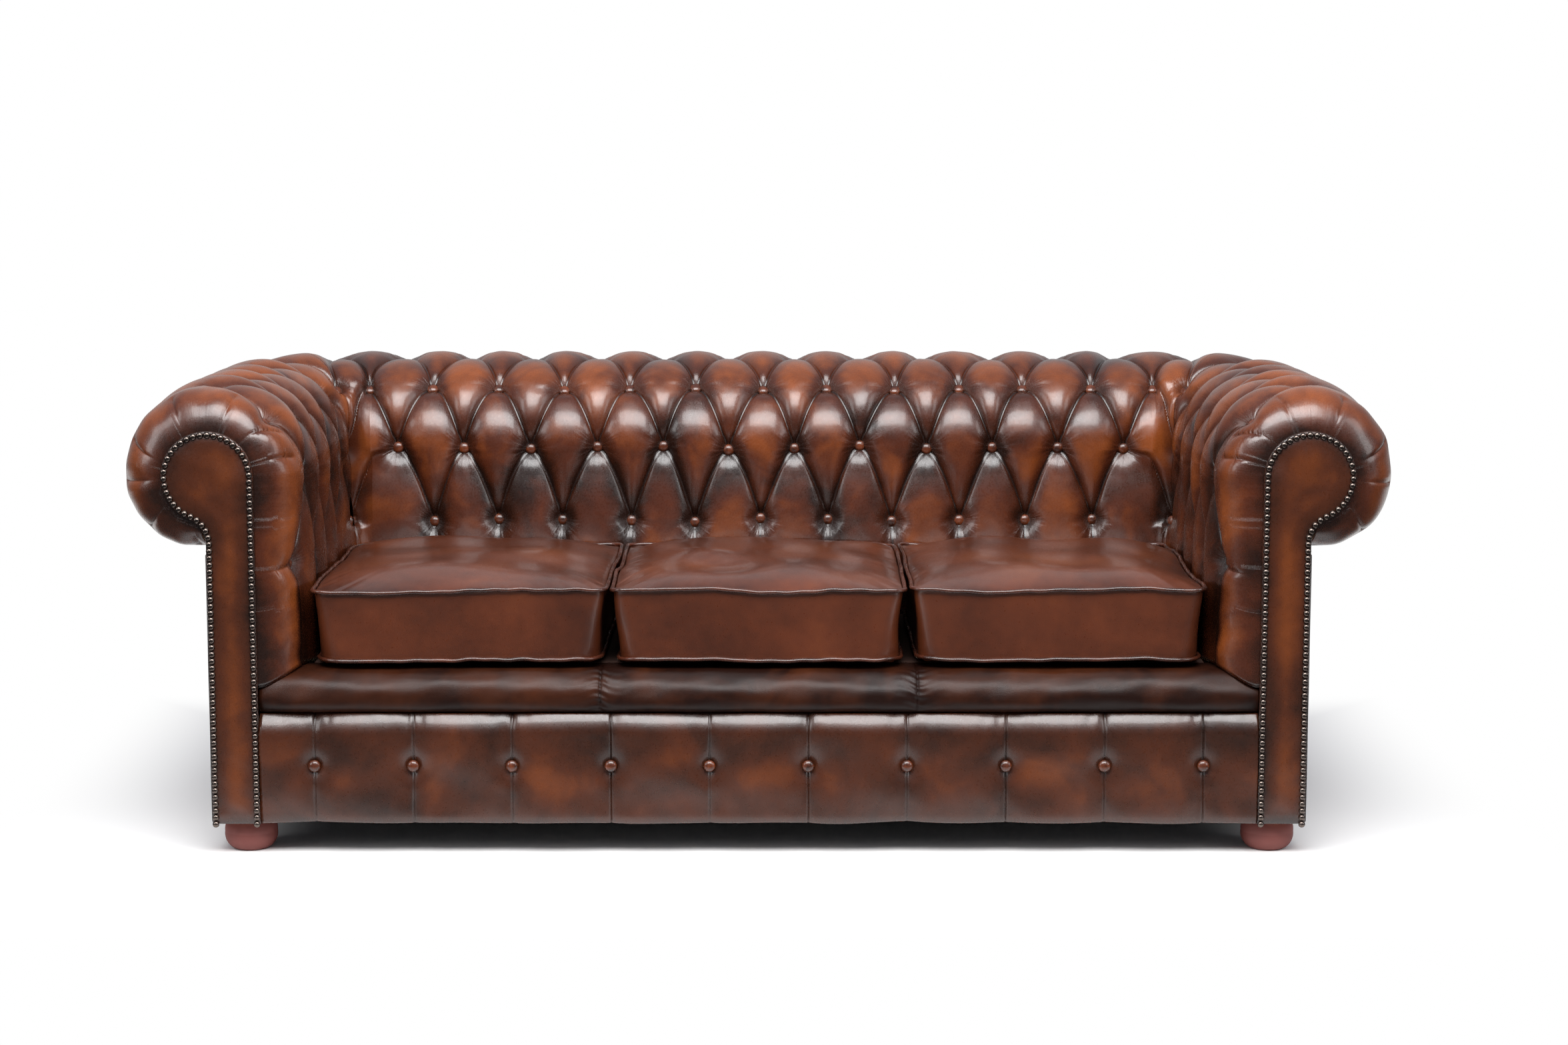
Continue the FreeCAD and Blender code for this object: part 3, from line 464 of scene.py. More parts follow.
def padding(column, row, spots, seed):
    """Depth under the crest and the colour values, which include painted shade and light, for points at a column and
    row of the buttoned padding.
    """
    size = np.abs(column)
    below = row < 0
    above = row > ROWS - 1
    h = height(column, row)
    h = np.where(below, np.abs(np.sin(math.pi * column / 2)) ** 0.6, h)
    h = np.where(above, np.abs(np.cos(math.pi * column / 2)) ** 0.7, h)
    h = np.where(below & (size > LOW_CORNER), 1.0, h)
    pleat = np.full_like(h, PLEAT_DEPTH)
    pleat = np.where(below, LOW_PLEAT + (PLEAT_DEPTH - LOW_PLEAT) * np.exp(row / 0.30), pleat)
    pleat = np.where(above, HIGH_PLEAT + (PLEAT_DEPTH - HIGH_PLEAT) * np.exp(-(row - ROWS + 1) / 0.35), pleat)
    free = np.clip(LAST_COLUMN - size, 0, 1)
    swollen = 1 + 0.05 * ripple(column, row, seed + 5, 2.0) * free
    depth = pleat * (1 - h * np.clip(swollen, 0.8, 1.0))

    u = column * HALF_PITCH
    v = row * ROW
    best, across, along = nearest_button(u, v, spots)
    pit = np.clip((best - 0.0085) / 0.028, 0, 1)
    depth = depth + BUTTON_DEPTH * (1 - pit) ** 2
    angle = np.arctan2(along, across)
    reach = np.clip((best - 0.010) / 0.012, 0, 1) * np.clip(1 - (best - 0.018) / 0.045, 0, 1)
    depth = depth + 0.00035 * reach * starburst(u, v, angle, seed + 9) * (0.4 + 0.6 * h) * free
    # Gathers that fan out below the lowest buttons
    downwards = angle + math.pi / 2
    fan = np.clip(-row / 0.06, 0, 1) * np.clip(1 - best / 0.10, 0, 1) * np.clip(1 - np.abs(downwards) / 0.75, 0, 1)
    depth = depth - 0.0030 * fan * np.cos(9 * downwards)
    # Valley along the mitre
    valley = np.exp(-(LAST_COLUMN - size) / 0.75) * np.clip(1.15 - np.abs(row - 0.85) / 1.35, 0, 1)
    depth = depth + 0.020 * valley

    # Colour: the raised puffs are lighter, as wiped in the finish; the creases of the pleats and the hollows round
    # the buttons are darkened as painted shade, and the rows are painted lighter upwards and darker downwards as
    # painted light and shade.
    wiped = np.clip((h - 0.40) / 0.55, 0, 1)
    hand = 0.14 * ripple(u, FIRST_ROW + v, seed + 6, 0.30)
    painted_pleat_shade = 1 - np.clip(h / 0.22, 0, 1)
    painted_light_by_row = 0.22 * np.clip((row - 1.7) / 1.2, -1, 0.6)
    wear = 0.34 + 0.36 * eased(wiped) - 0.34 * painted_pleat_shade - 0.12 * (1 - pit) + hand + painted_light_by_row
    pull = np.clip(1 - (best - 0.010) / 0.040, 0, 1) * (best > 0.008)
    spoke = np.stack([np.cos(angle) * 4.2, np.sin(angle) * 4.2, best * 14 + 3.7 * np.round(v / ROW)], -1)
    return depth, wear, spoke, pull


def pleat_falls(column, row):
    """True where the nearest pleat goes down as the columns go up."""
    top = ROWS - 1.001
    middle_row = np.clip(row, 0, top)
    middle_row[:-1] = np.clip((middle_row[:-1] + middle_row[1:]) / 2, 0, top)
    middle = column.copy()
    middle[:, :-1] = (column[:, :-1] + column[:, 1:]) / 2
    parity = (np.floor(middle_row) + 1) % 2
    return middle >= 2 * np.round((middle - parity) / 2) + parity


def stack_rows(columns, low_t):
    """Column and t of every point: rows below the buttons, the buttoned field, the rows over the roll."""
    column, row = tufted_grid(columns)
    straight = column[0]
    share = np.linspace(0, 1, LOW_ROWS, endpoint=False)[:, None]
    low = low_t + share * (FIRST_ROW - low_t) + 0 * straight
    high = np.linspace(FIRST_ROW + (ROWS - 1) * ROW, END_T, HIGH_ROWS + 1)[1:, None] + 0 * straight
    all_columns = np.concatenate([np.broadcast_to(straight, low.shape), column,
                                  np.broadcast_to(straight, high.shape)])
    return all_columns, np.concatenate([low, FIRST_ROW + row * ROW, high])


def buttoned_piece(name, points, falling, wear, spoke, pull, *nodes):
    """Shell of buttoned leather with its foam: its front rows, then INNER_ROWS on the hidden side."""
    def pad(values):
        tail = np.zeros((INNER_ROWS,) + values.shape[1:])
        return np.concatenate([values, tail]).reshape((-1,) + values.shape[2:])

    faces = close_shell(*points.shape[:2], falling)
    made = mesh_object(name, points.reshape(-1, 3), faces, tufted_leather, "sofa", *nodes,
                       values={"wear": pad(wear), "spoke": pad(spoke), "pull": pad(pull)})


def back_leather():
    """Makes the back's cover. Returns the place of each of its buttons, as a function of its depth."""
    columns = (-LAST_COLUMN, LAST_COLUMN)
    foot_t = 0.290 - ROLL_HEIGHT
    column, t = stack_rows(columns, foot_t)
    row = (t - FIRST_ROW) / ROW
    spots = button_list(columns)
    depth, wear, spoke, pull = padding(column, row, spots, BACK_SEED)
    du, dr = wander(column, row, BACK_SEED)
    outer = place_back(column + du, *outline(t + dr * ROW, depth))
    inner_t = np.linspace(END_T, foot_t, INNER_ROWS)[:, None] + 0 * column[:1]
    inner = place_back(np.broadcast_to(column[0], inner_t.shape), *outline(inner_t, 0.040))
    buttoned_piece("back_leather", np.concatenate([outer, inner]), pleat_falls(column, row), wear, spoke, pull,
                   "back_cover", "back_foam")
    studs = []
    for spot_column, spot_row in spots:
        a, b = wander(np.array(spot_column), np.array(spot_row), BACK_SEED)
        studs.append((lambda inset, c=spot_column + float(a), s=spot_row + float(b):
                      place_back(np.array(c), *outline(FIRST_ROW + s * ROW, inset))))
    return studs


# Arms

FRONT_STEPS = 30              # mesh columns over the rounded front end
FRONT_INSET = 0.008           # of the padding at its first buttons
# Folds over the rounded front end: t at the buttons, t at the nails, and depth
FOLDS = ((-0.147, -0.155, 0.010), (0.026, 0.040, 0.006), (0.068, 0.115, 0.010), (0.184, 0.190, 0.006),
         (0.303, 0.300, 0.008), (0.406, 0.425, 0.007), (0.481, 0.481, 0.005), (0.583, 0.583, 0.007),
         (0.668, 0.668, 0.005))
FOLD_STEP = 0.0022            # from a fold to the mesh rows beside it


def round_over(d):
    """How far the arm's padding is drawn in near its front end, at d."""
    behind = d - FACING_GAP - FRONT_ROUND
    drawn = ROLL - FACING_RADIUS - FRONT_INSET
    over = drawn * rounded_edge(np.clip(behind, -FRONT_ROUND, 0) / FRONT_ROUND)
    return np.where(behind < 0, FRONT_INSET + over, FRONT_INSET * eased(np.clip(1 - behind / HALF_PITCH, 0, 1)))


def lip_drop(d):
    """Fall of the lip's top below the seat, at d."""
    ahead = np.clip(LIP_FRONT + LIP_ROUND - d, 0, None)
    return LIP_ROUND - np.sqrt(np.clip(LIP_ROUND ** 2 - ahead ** 2, 0, None))


def share_ahead(column):
    """Share of the way from the first buttons to the front end, where the padding rounds over."""
    return np.clip((FIRST_COLUMN - column) * HALF_PITCH / FRONT_ROUND, 0, 1)


def fold_paths(ahead, side):
    """t, depth and width of each fold, at the given shares of the way to the front end."""
    dice = np.random.default_rng(50 + int(side > 0))
    paths = []
    for back_t, front_t, deep in FOLDS:
        shift = 0.004 * dice.normal()
        wide = 0.007 + 0.006 * dice.random()
        paths.append((back_t + shift + (front_t - back_t) * ahead ** 1.5, deep, wide))
    return paths


def rows_along_folds(t, ahead, side):
    """Moves the rows of the rounded front so that one lies in each fold, with a close one on either side."""
    moved = t.copy()
    last = t.shape[0] - 1
    for j in np.nonzero(ahead > 0)[0]:
        marks = [0]
        places = [t[0, j]]
        for path, _, _ in fold_paths(ahead[j], side):
            nearest = int(np.argmin(np.abs(t[:, -1] - path)))
            if nearest - 1 > marks[-1] and nearest + 1 < last and path - 0.004 > places[-1]:
                marks += [nearest - 1, nearest, nearest + 1]
                places += [path - FOLD_STEP, path, path + FOLD_STEP]
        clustered = np.interp(np.arange(last + 1), marks + [last], places + [t[-1, j]])
        share = min(1.0, ahead[j] / 0.2)
        moved[:, j] = (1 - share) * t[:, j] + share * clustered
    return moved


def front_folds(t, ahead, side):
    """Depth of the folds over the rounded front end, drawn from the nails back to the buttons."""
    reach = np.clip((ahead - 0.2) / 0.15, 0, 1) * np.clip((1.02 - ahead) / 0.25, 0, 1) ** 0.8
    total = np.zeros(t.shape)
    for path, deep, wide in fold_paths(ahead, side):
        gap = np.abs(t - path)
        total = total + (0.30 * deep * np.exp(-(gap / wide) ** 1.1) + 0.0030 * np.exp(-gap / 0.0020)) * reach
    return total


def arm_leather(side):
    """Makes an arm's cover. Returns the place of each of its buttons, as a function of its depth."""
    field_columns = (FIRST_COLUMN, LAST_COLUMN)
    column, t = stack_rows(field_columns, 0.264 - ROLL_HEIGHT)
    turn = np.linspace(math.pi / 2, 0, FRONT_STEPS, endpoint=False)
    front_column = FIRST_COLUMN - FRONT_ROUND * np.sin(turn) / HALF_PITCH
    front = np.broadcast_to(front_column, (column.shape[0], FRONT_STEPS))
    column = np.concatenate([front, column], 1)
    t = np.concatenate([np.broadcast_to(t[:, :1], front.shape), t], 1)
    d = arm_depth(column)
    # The foot goes down beside the cushions, and in front of them rests on the lip
    over_lip = d < 0.126
    floor_t = np.where(over_lip, SEAT - ROLL_HEIGHT + 0.0015 - lip_drop(d), SEAT - ROLL_HEIGHT - 0.0445)
    start = t[:1, :]
    t = np.where(t < FIRST_ROW, floor_t + (t - start) / (FIRST_ROW - start) * (FIRST_ROW - floor_t), t)
    t = rows_along_folds(t, share_ahead(column[0]), side)
    row = (t - FIRST_ROW) / ROW
    spots = button_list(field_columns)
    seed = ARM_SEEDS[side]
    depth, wear, spoke, pull = padding(np.maximum(column, FIRST_COLUMN), row, spots, seed)

    ahead = share_ahead(column)
    in_front = column < FIRST_COLUMN
    draw = round_over(d)
    turned = np.clip((t - CREST_ARC) / (END_T - CREST_ARC), 0, 1)
    creases = front_folds(t, ahead, side)
    slack = 0.0014 * ripple(t * 3, d, seed + 13, 0.16) * np.sin(math.pi * ahead) ** 0.5
    depth = np.where(in_front, depth * (1 - ahead) ** 1.5, depth)
    total = draw * (1 - turned / 2) + depth + creases + slack * in_front
    du, dr = wander(column, row, seed)
    hold = np.clip(column - FIRST_COLUMN + 0.3, 0, 1)
    outer = place_arm(column + du * hold, *outline(t + dr * ROW * hold, total), side)
    inner_t = np.concatenate([np.linspace(END_T, 0, INNER_ROWS - 1)[:, None] + 0 * column[:1], t[:1]])
    back_inset = np.maximum(0.041, draw[0] + 0.014) + 0 * inner_t
    inner = place_arm(np.broadcast_to(column[0], inner_t.shape), *outline(inner_t, back_inset), side)

    front_wear = 0.48 + 0.26 * np.sin(2 * np.arcsin(ahead)) - 0.42 * ahead ** 4
    mix = np.clip((FIRST_COLUMN - column) * 2.2, 0, 1)
    # The folds over the front end are darkened by their depth: painted shade in the creases.
    wear = wear * (1 - mix) + front_wear * mix - 12 * creases
    pull = np.where(in_front, 0.35 * ahead, pull)
    name = SIDES[side]
    buttoned_piece("arm_leather_" + name, np.concatenate([outer, inner]), pleat_falls(column, row), wear, spoke,
                   pull, "arm_cover_" + name, "arm_foam_" + name)
    studs = []
    for spot_column, spot_row in spots:
        a, b = wander(np.array(spot_column), np.array(spot_row), seed)
        if spot_column == LAST_COLUMN:
            continue
        studs.append((lambda inset, c=spot_column + float(a) * (spot_column > FIRST_COLUMN), s=spot_row + float(b):
                      place_arm(np.array(c), *outline(FIRST_ROW + s * ROW, inset + round_over(arm_depth(c))), side)))
    return studs


back_places = back_leather()
arm_places = {side: arm_leather(side) for side in SIDES}


# Covered buttons and nails

def dome_nodes():
    """Geometry nodes that set a low dome on every point, turned to the point's facing."""
    tree = bpy.data.node_groups.new("domes_on_points", "GeometryNodeTree")
    face = tree.interface
    face.new_socket("Geometry", in_out="INPUT", socket_type="NodeSocketGeometry")
    for name, kind in (("Radius", "Float"), ("Rise", "Float"), ("Sides", "Int"), ("Seed", "Int"),
                       ("Finish", "Material")):
        face.new_socket(name, in_out="INPUT", socket_type="NodeSocket" + kind)
    face.new_socket("Geometry", in_out="OUTPUT", socket_type="NodeSocketGeometry")
    given = add(tree, "NodeGroupInput")
    rings = add(tree, "ShaderNodeMath", {0: (given, "Sides"), 1: 2.0}, operation="DIVIDE")
    ball = add(tree, "GeometryNodeMeshUVSphere", {"Segments": (given, "Sides"), "Rings": (rings, 0), "Radius": 1.0})
    smooth = add(tree, "GeometryNodeSetShadeSmooth", {"Geometry": (ball, "Mesh")})
    shape = add(tree, "ShaderNodeCombineXYZ", {"X": (given, "Radius"), "Y": (given, "Radius"), "Z": (given, "Rise")})
    dome = add(tree, "GeometryNodeTransform", {"Geometry": (smooth, 0), "Scale": (shape, 0)})
    facing = add(tree, "GeometryNodeInputNamedAttribute", {"Name": "facing"}, data_type="FLOAT_VECTOR")
    turn = add(tree, "FunctionNodeAlignRotationToVector", {"Vector": (facing, "Attribute")}, axis="Z")
    size = add(tree, "FunctionNodeRandomValue", {2: 0.96, 3: 1.03, "Seed": (given, "Seed")}, data_type="FLOAT")
    placed = add(tree, "GeometryNodeInstanceOnPoints", {
        "Points": (given, "Geometry"), "Instance": (dome, 0), "Rotation": (turn, 0), "Scale": (size, 1)})
    real = add(tree, "GeometryNodeRealizeInstances", {0: (placed, 0)})
    coated = add(tree, "GeometryNodeSetMaterial", {"Geometry": (real, 0), "Material": (given, "Finish")})
    add(tree, "NodeGroupOutput", {0: (coated, 0)})
    return tree


dome_tree = dome_nodes()


def domes(name, spots, radius, rise, sides, seed, finish, node):
    """One piece of domes that stands for a node; spots are pairs of a dome's middle and its facing."""
    points = bpy.data.meshes.new(name + "_points")
    points.from_pydata([tuple(map(float, middle)) for middle, _ in spots], [], [])
    layer = points.attributes.new("facing", "FLOAT_VECTOR", "POINT")
    layer.data.foreach_set("vector", np.array([facing for _, facing in spots], np.float32).ravel())
    holder = bpy.data.objects.new(name + "_points", points)
    bpy.context.scene.collection.objects.link(holder)
    modifier = holder.modifiers.new("domes", "NODES")
    modifier.node_group = dome_tree
    given = {"Radius": radius, "Rise": rise, "Sides": sides, "Seed": seed, "Finish": finish}
    for socket in dome_tree.interface.items_tree:
        if socket.in_out == "INPUT" and socket.name in given:
            modifier[socket.identifier] = given[socket.name]
    mesh = bpy.data.meshes.new_from_object(holder.evaluated_get(bpy.context.evaluated_depsgraph_get()))
    bpy.data.objects.remove(holder)
    made = bpy.data.objects.new(name, mesh)
    bpy.context.scene.collection.objects.link(made)
    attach(made, "sofa")
    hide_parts(node)
    return made


def covered_buttons(name, places, seed, node):
    """Covered buttons whose facings come from their places at two depths."""
    spots = []
    for place in places:
        middle = np.ravel(place(BUTTON_IN))
        facing = np.ravel(place(BUTTON_IN - 0.004)) - middle
        spots.append((middle, facing / np.linalg.norm(facing)))
    made = domes(name, spots, BUTTON_RADIUS, 0.0062, 24, seed, button_leather, node)


covered_buttons("back_buttons_covered", back_places, 3, "back_buttons")
for side, name in SIDES.items():
    covered_buttons("arm_buttons_covered_" + name, arm_places[side], 4, "arm_buttons_" + name)


# Scrolled facings with their nails

FACING_STEP = 0.0035          # between points along the facing's edge
FACING_GRID = 0.0045          # between points inside it
EDGE_ROUND = 0.0035
NAIL_IN = 0.0056              # from the facing's edge to the nails' middles
NAIL_PITCH = 0.0111
NAIL_RADIUS = 0.0053


def facing_path(inset, step):
    """Points (n, z) along a facing's edge, from its inner foot over the scroll to its outer foot."""
    neck_n = STEM_OUT + NECK
    neck_z = ROLL_HEIGHT - math.sqrt((FACING_RADIUS + NECK) ** 2 - (neck_n - ROLL) ** 2)
    scroll = FACING_RADIUS - inset
    neck = NECK + inset
    turn = math.atan2(neck_z - ROLL_HEIGHT, neck_n - ROLL)
    foot = BASE + inset if inset < 0.005 else BASE
    dense = [(STEM_IN + inset, z) for z in np.arange(foot, ROLL_HEIGHT, 0.001)]
    dense += [(ROLL + scroll * math.cos(a), ROLL_HEIGHT + scroll * math.sin(a))
              for a in np.arange(math.pi, turn, -0.012)]
    dense += [(neck_n + neck * math.cos(a), neck_z + neck * math.sin(a))
              for a in np.arange(turn + math.pi, math.pi, 0.02)]
    dense += [(STEM_OUT - inset, z) for z in np.arange(neck_z, foot, -0.001)] + [(STEM_OUT - inset, foot)]
    dense = np.array(dense)
    length = np.concatenate([[0], np.cumsum(np.hypot(*np.diff(dense, axis=0).T))])
    wanted = np.linspace(0, length[-1], max(2, int(round(length[-1] / step)) + 1))
    return np.stack([np.interp(wanted, length, dense[:, k]) for k in (0, 1)], 1)


def distance_to(points, edge):
    best = np.full(len(points), 9.0)
    closed = np.concatenate([edge, edge[:1]])
    for a, b in zip(closed, closed[1:]):
        ab = b - a
        share = np.clip(((points - a) @ ab) / max(ab @ ab, 1e-12), 0, 1)
        best = np.minimum(best, np.hypot(*(points - a - share[:, None] * ab).T))
    return best


def inside_facing():
    """Points within the facing, in staggered rows, clear of its edge."""
    clear = 0.012
    found = []
    for z in np.arange(BASE + 0.004, ROLL_HEIGHT + FACING_RADIUS, FACING_GRID):
        for n in np.arange(STEM_IN, ROLL + FACING_RADIUS, FACING_GRID):
            n = n + FACING_GRID / 2 * (int(round(z / FACING_GRID)) % 2)
            in_stem = STEM_IN + clear < n < STEM_OUT - clear and z < ROLL_HEIGHT
            if in_stem or math.hypot(n - ROLL, z - ROLL_HEIGHT) < FACING_RADIUS - clear:
                found.append((n, z))
    return found


def facing(side):
    """Leather stretched over a shaped board, dark at its edge and wiped along the middle."""
    edge = facing_path(0.0, FACING_STEP)
    lines = [facing_path(inset, FACING_STEP) for inset in (0.0009, 0.0030, 0.0056, 0.0085)]
    flat = np.concatenate([edge] + lines + [np.array(inside_facing())])
    ring = [(k, (k + 1) % len(edge)) for k in range(len(edge))]
    found, _, triangles, *_ = delaunay_2d_cdt([Vector(p) for p in flat], ring, [], 1, 1e-5)
    plan = np.array([tuple(p) for p in found])
    n, z = plan.T
    away = distance_to(plan, edge)
    curl = EDGE_ROUND * rounded_edge(1 - np.clip(away / EDGE_ROUND, 0, 1))
    nail_line = 0.0016 * np.exp(-((away - NAIL_IN) / 0.004) ** 2)
    dent = 0.0022 * np.exp(-((n - 0.094) / 0.013) ** 2 - ((z - 0.645) / 0.020) ** 2)
    slack = 0.0004 * ripple(n, z, 60 + int(side > 0), 0.05) * np.clip(away / 0.02, 0, 1)
    d = 0.0012 + curl + nail_line + dent + slack - 0.0012 * np.clip(away / 0.03, 0, 1)
    front = np.stack([side * (HALF_WIDTH + n), FRONT_Y + d, z], 1)
    hand = 0.16 * ripple(n * 1.5, z, 62 + int(side > 0), 0.24)
    wear = -0.22 + 0.46 * np.clip(away / 0.036, 0, 1) ** 1.2 + hand * np.clip(away / 0.02, 0, 1)
    # The back of the board and its edge
    behind = np.stack([side * (HALF_WIDTH + edge[:, 0]), np.full(len(edge), FRONT_Y + 0.0077), edge[:, 1]], 1)
    index = {(round(p[0], 5), round(p[1], 5)): k for k, p in enumerate(plan)}
    loop = [index.get((round(p[0], 5), round(p[1], 5))) for p in edge]
    count = len(front)
    rim = [(loop[k], loop[j], count + j, count + k) for k, j in ring
           if loop[k] is not None and loop[j] is not None]
    back = tuple(range(count + len(edge) - 1, count - 1, -1))
    name = SIDES[side]
    faces = [tuple(f) for f in triangles] + rim + [back]
    made = mesh_object("facing_" + name, np.concatenate([front, behind]), faces, panel_leather, "sofa",
                       "arm_facing_" + name,
                       values={"wear": np.concatenate([wear, np.full(len(edge), -0.4)])})
    heads = [((side * (HALF_WIDTH + n), FRONT_Y + 0.0011, z), (0, -1, 0))
             for n, z in facing_path(NAIL_IN, NAIL_PITCH)]
    nails = domes("nails_" + name, heads, NAIL_RADIUS, 0.0043, 16, 5, nail_metal, "facing_nails_" + name)


for side in SIDES:
    facing(side)


# Lip and border of the base

FRONT_REACH = HALF_WIDTH + STEM_IN - 0.0003
LIP_SEAMS = (-0.255, 0.255)
BORDER_PITCH = 0.1589
BORDER_COUNT = 10
BORDER_BUTTON = 0.146         # height of its buttons
BORDER_TOP = 0.2305
BORDER_BACK = 0.0278
BORDER_X = [(k - (BORDER_COUNT - 1) / 2) * BORDER_PITCH for k in range(BORDER_COUNT)]


def lip():
    """Padded roll in three sewn lengths, with gathers at its two seams."""
    quarter = math.pi / 2
    front = LIP_FRONT + LIP_ROUND
    top = [(front - LIP_ROUND * math.sin(a), SEAT - LIP_ROUND + LIP_ROUND * math.cos(a))
           for a in np.linspace(0, quarter, 60)]
    tuck = [(0.025 - 0.021 * math.cos(a), LIP_LOW + 0.0225 - 0.022 * math.sin(a))
            for a in np.linspace(0, quarter, 24)]
    floor_z = LIP_LOW + 0.0004
    profile, along = sampled([(LIP_BACK, 0.262), (LIP_BACK, 0.290), (LIP_BACK, SEAT)] + top + tuck
                             + [(0.060, floor_z), (LIP_BACK, floor_z)], 0.0024)
    X, S = np.meshgrid(fine_steps(-FRONT_REACH, FRONT_REACH, 0.007, LIP_SEAMS, 0.0012, 0.012), along)
    D = np.broadcast_to(profile[:, :1], X.shape)
    Z = np.broadcast_to(profile[:, 1:], X.shape)
    tangent = np.gradient(profile, axis=0)
    tangent /= np.linalg.norm(tangent, axis=1, keepdims=True)
    near = np.min([np.abs(X - seam) for seam in LIP_SEAMS], 0)
    seam = 0.0026 * np.exp(-(near / 0.0022) ** 1.4) + 0.0018 * np.exp(-(near / 0.016) ** 1.5)
    gathers = 0.0010 * np.exp(-near / 0.020) * np.sin(S * 420 + 3 * np.sin(X * 90))
    front_face = np.clip((0.060 - D) / 0.02, 0, 1)
    waves = front_face * (0.0013 * ripple(X, S, 70, 0.20) + 0.0007 * ripple(X, S * 1.5, 71, 0.06))
    ends = 0.004 * np.exp(-(FRONT_REACH - np.abs(X)) / 0.012)
    sink = (seam + gathers + waves + ends) * np.clip((0.0985 - D) / 0.025, 0, 1) + 0.0012
    sink = sink * ((S > 0.02) & (S < along[-1] - 0.05))
    back_by = sink * np.abs(tangent[:, 1:]) * (D < 0.06)
    down_by = sink * np.abs(tangent[:, :1]) * (Z > 0.26)
    points = np.stack([X, FRONT_Y + D + back_by, Z - down_by], -1)
    # Colour: the lip is set darker overall as painted shade under the cushions, and the band along its rounded upper
    # front is a painted highlight; the seams are darker joints.
    crest = np.exp(-((Z - 0.278) / 0.020) ** 2) * (D < 0.06)
    wear = -0.26 + 0.12 * crest + 0.06 * ripple(X, Z, 72, 0.25) - 0.15 * np.exp(-near / 0.006)
    made = mesh_object("seat_lip", points.reshape(-1, 3), close_shell(*X.shape), lip_leather, "sofa",
                       "front_lip", values={"wear": wear.ravel(), "pull": (0.35 * np.exp(-near / 0.02)).ravel()})


def border():
    """Padded panel drawn in along a stitched tuck at each button, with its buttons."""
    x = fine_steps(-FRONT_REACH, FRONT_REACH, 0.0060, BORDER_X, 0.0011, 0.009)
    z = fine_steps(BASE, BORDER_TOP, 0.0040, (BASE, BORDER_TOP), 0.0015, 0.012)
    X, Z = np.meshgrid(x, z)
    gaps = X - np.array(BORDER_X)[:, None, None]
    near = np.min(np.abs(gaps), 0)
    side = np.sign(np.take_along_axis(gaps, np.argmin(np.abs(gaps), 0)[None], 0)[0])
    far = np.hypot(near, Z - BORDER_BUTTON)
    share = np.clip(near / (BORDER_PITCH / 2), 0, 1)
    puff = 0.0060 * (1 - share) ** 2.6
    tuck = 0.0020 * np.exp(-(near / 0.0018) ** 1.3)
    lapped = 0.0008 * np.clip(1 - near / 0.010, 0, 1) * side
    pit = 0.0060 * np.clip(1 - (far - 0.008) / 0.034, 0, 1) ** 2.2
    rise = np.clip((Z - (BORDER_TOP - 0.034)) / 0.034, 0, 1)
    fall = np.clip((BASE + 0.014 - Z) / 0.014, 0, 1)
    edges = 0.0150 * rise ** 2 + 0.006 * rounded_edge(fall)
    gathers = 0.0016 * rise * np.exp(-near / 0.030) * np.sin(X * 260 + 2 * np.sin(X * 37))
    skin = 0.0011 * ripple(X, Z, 80, 0.13) + 0.0004 * ripple(X, Z, 81, 0.035) * np.exp(-near / 0.04)
    depth = 0.0022 + puff + tuck + pit + edges + gathers + skin + lapped
    foot = 0.0014 * ripple(X, 0 * X, 82, 0.16) * fall
    outer = np.stack([X, FRONT_Y + depth, Z + foot], -1)
    inner = np.stack([np.stack([x, np.full_like(x, FRONT_Y + BORDER_BACK), np.full_like(x, level)], -1)
                      for level in (BORDER_TOP, BASE)])
    points = np.concatenate([outer, inner])
    cloud = 0.5 + 0.5 * ripple(X, Z * 1.2, 83, 0.12)
    middle = np.exp(-((Z - 0.128) / 0.052) ** 2) * np.clip(share * 2.4, 0, 1) ** 0.8
    # The tucks and the hollows round the buttons are darkened as painted shade; the clouded lighter band across the
    # middle is the wiped finish.
    wear = (-0.06 + 0.40 * middle * np.clip(cloud, 0.15, 1.0) - 0.10 * np.exp(-near / 0.004)
            - 0.10 * np.exp(-far / 0.02))
    tail = np.zeros((2, len(x)))
    made = mesh_object("base_border", points.reshape(-1, 3), close_shell(*points.shape[:2]), panel_leather,
                       "sofa", "front_border",
                       values={"wear": np.concatenate([wear, tail]).ravel(),
                               "pull": np.concatenate([0.4 * np.exp(-far / 0.02), tail]).ravel()})
    heads = [((place, FRONT_Y + 0.0088, BORDER_BUTTON), (0, -1, 0)) for place in BORDER_X]
    studs = domes("border_buttons_covered", heads, BUTTON_RADIUS, 0.0065, 24, 6, button_leather, "border_buttons")


lip()
border()


# Loose cushions

CUSHION_GAP = 0.003
CUSHION_FRONT = 0.030
CUSHION_BACK = 0.583
PIPE = 0.0068                 # thickness of the covered cord
LOW_PIPE = 0.3140
HIGH_PIPE = 0.4290
BOXING = HIGH_PIPE - LOW_PIPE
CROWN = 0.027
CUSHION_WIDTH = (2 * HALF_WIDTH - 2 * 0.002 - 2 * CUSHION_GAP) / 3
CUSHION_Y = FRONT_Y + (CUSHION_FRONT + CUSHION_BACK) / 2
HALF_X = CUSHION_WIDTH / 2 - 0.0063
HALF_D = (CUSHION_BACK - CUSHION_FRONT) / 2 - 0.0063
TOP_CORNER = 0.022            # plan radius of the corners
LOW_CORNER_MORE = 0.020       # and how much larger it is at the underside
FOOT_IN = 0.0075              # how much smaller the underside is, on each side
ACROSS = 96                   # mesh lines from side to side
DEEP = 110                    # and from front to back
PIPE_SIDES = 12


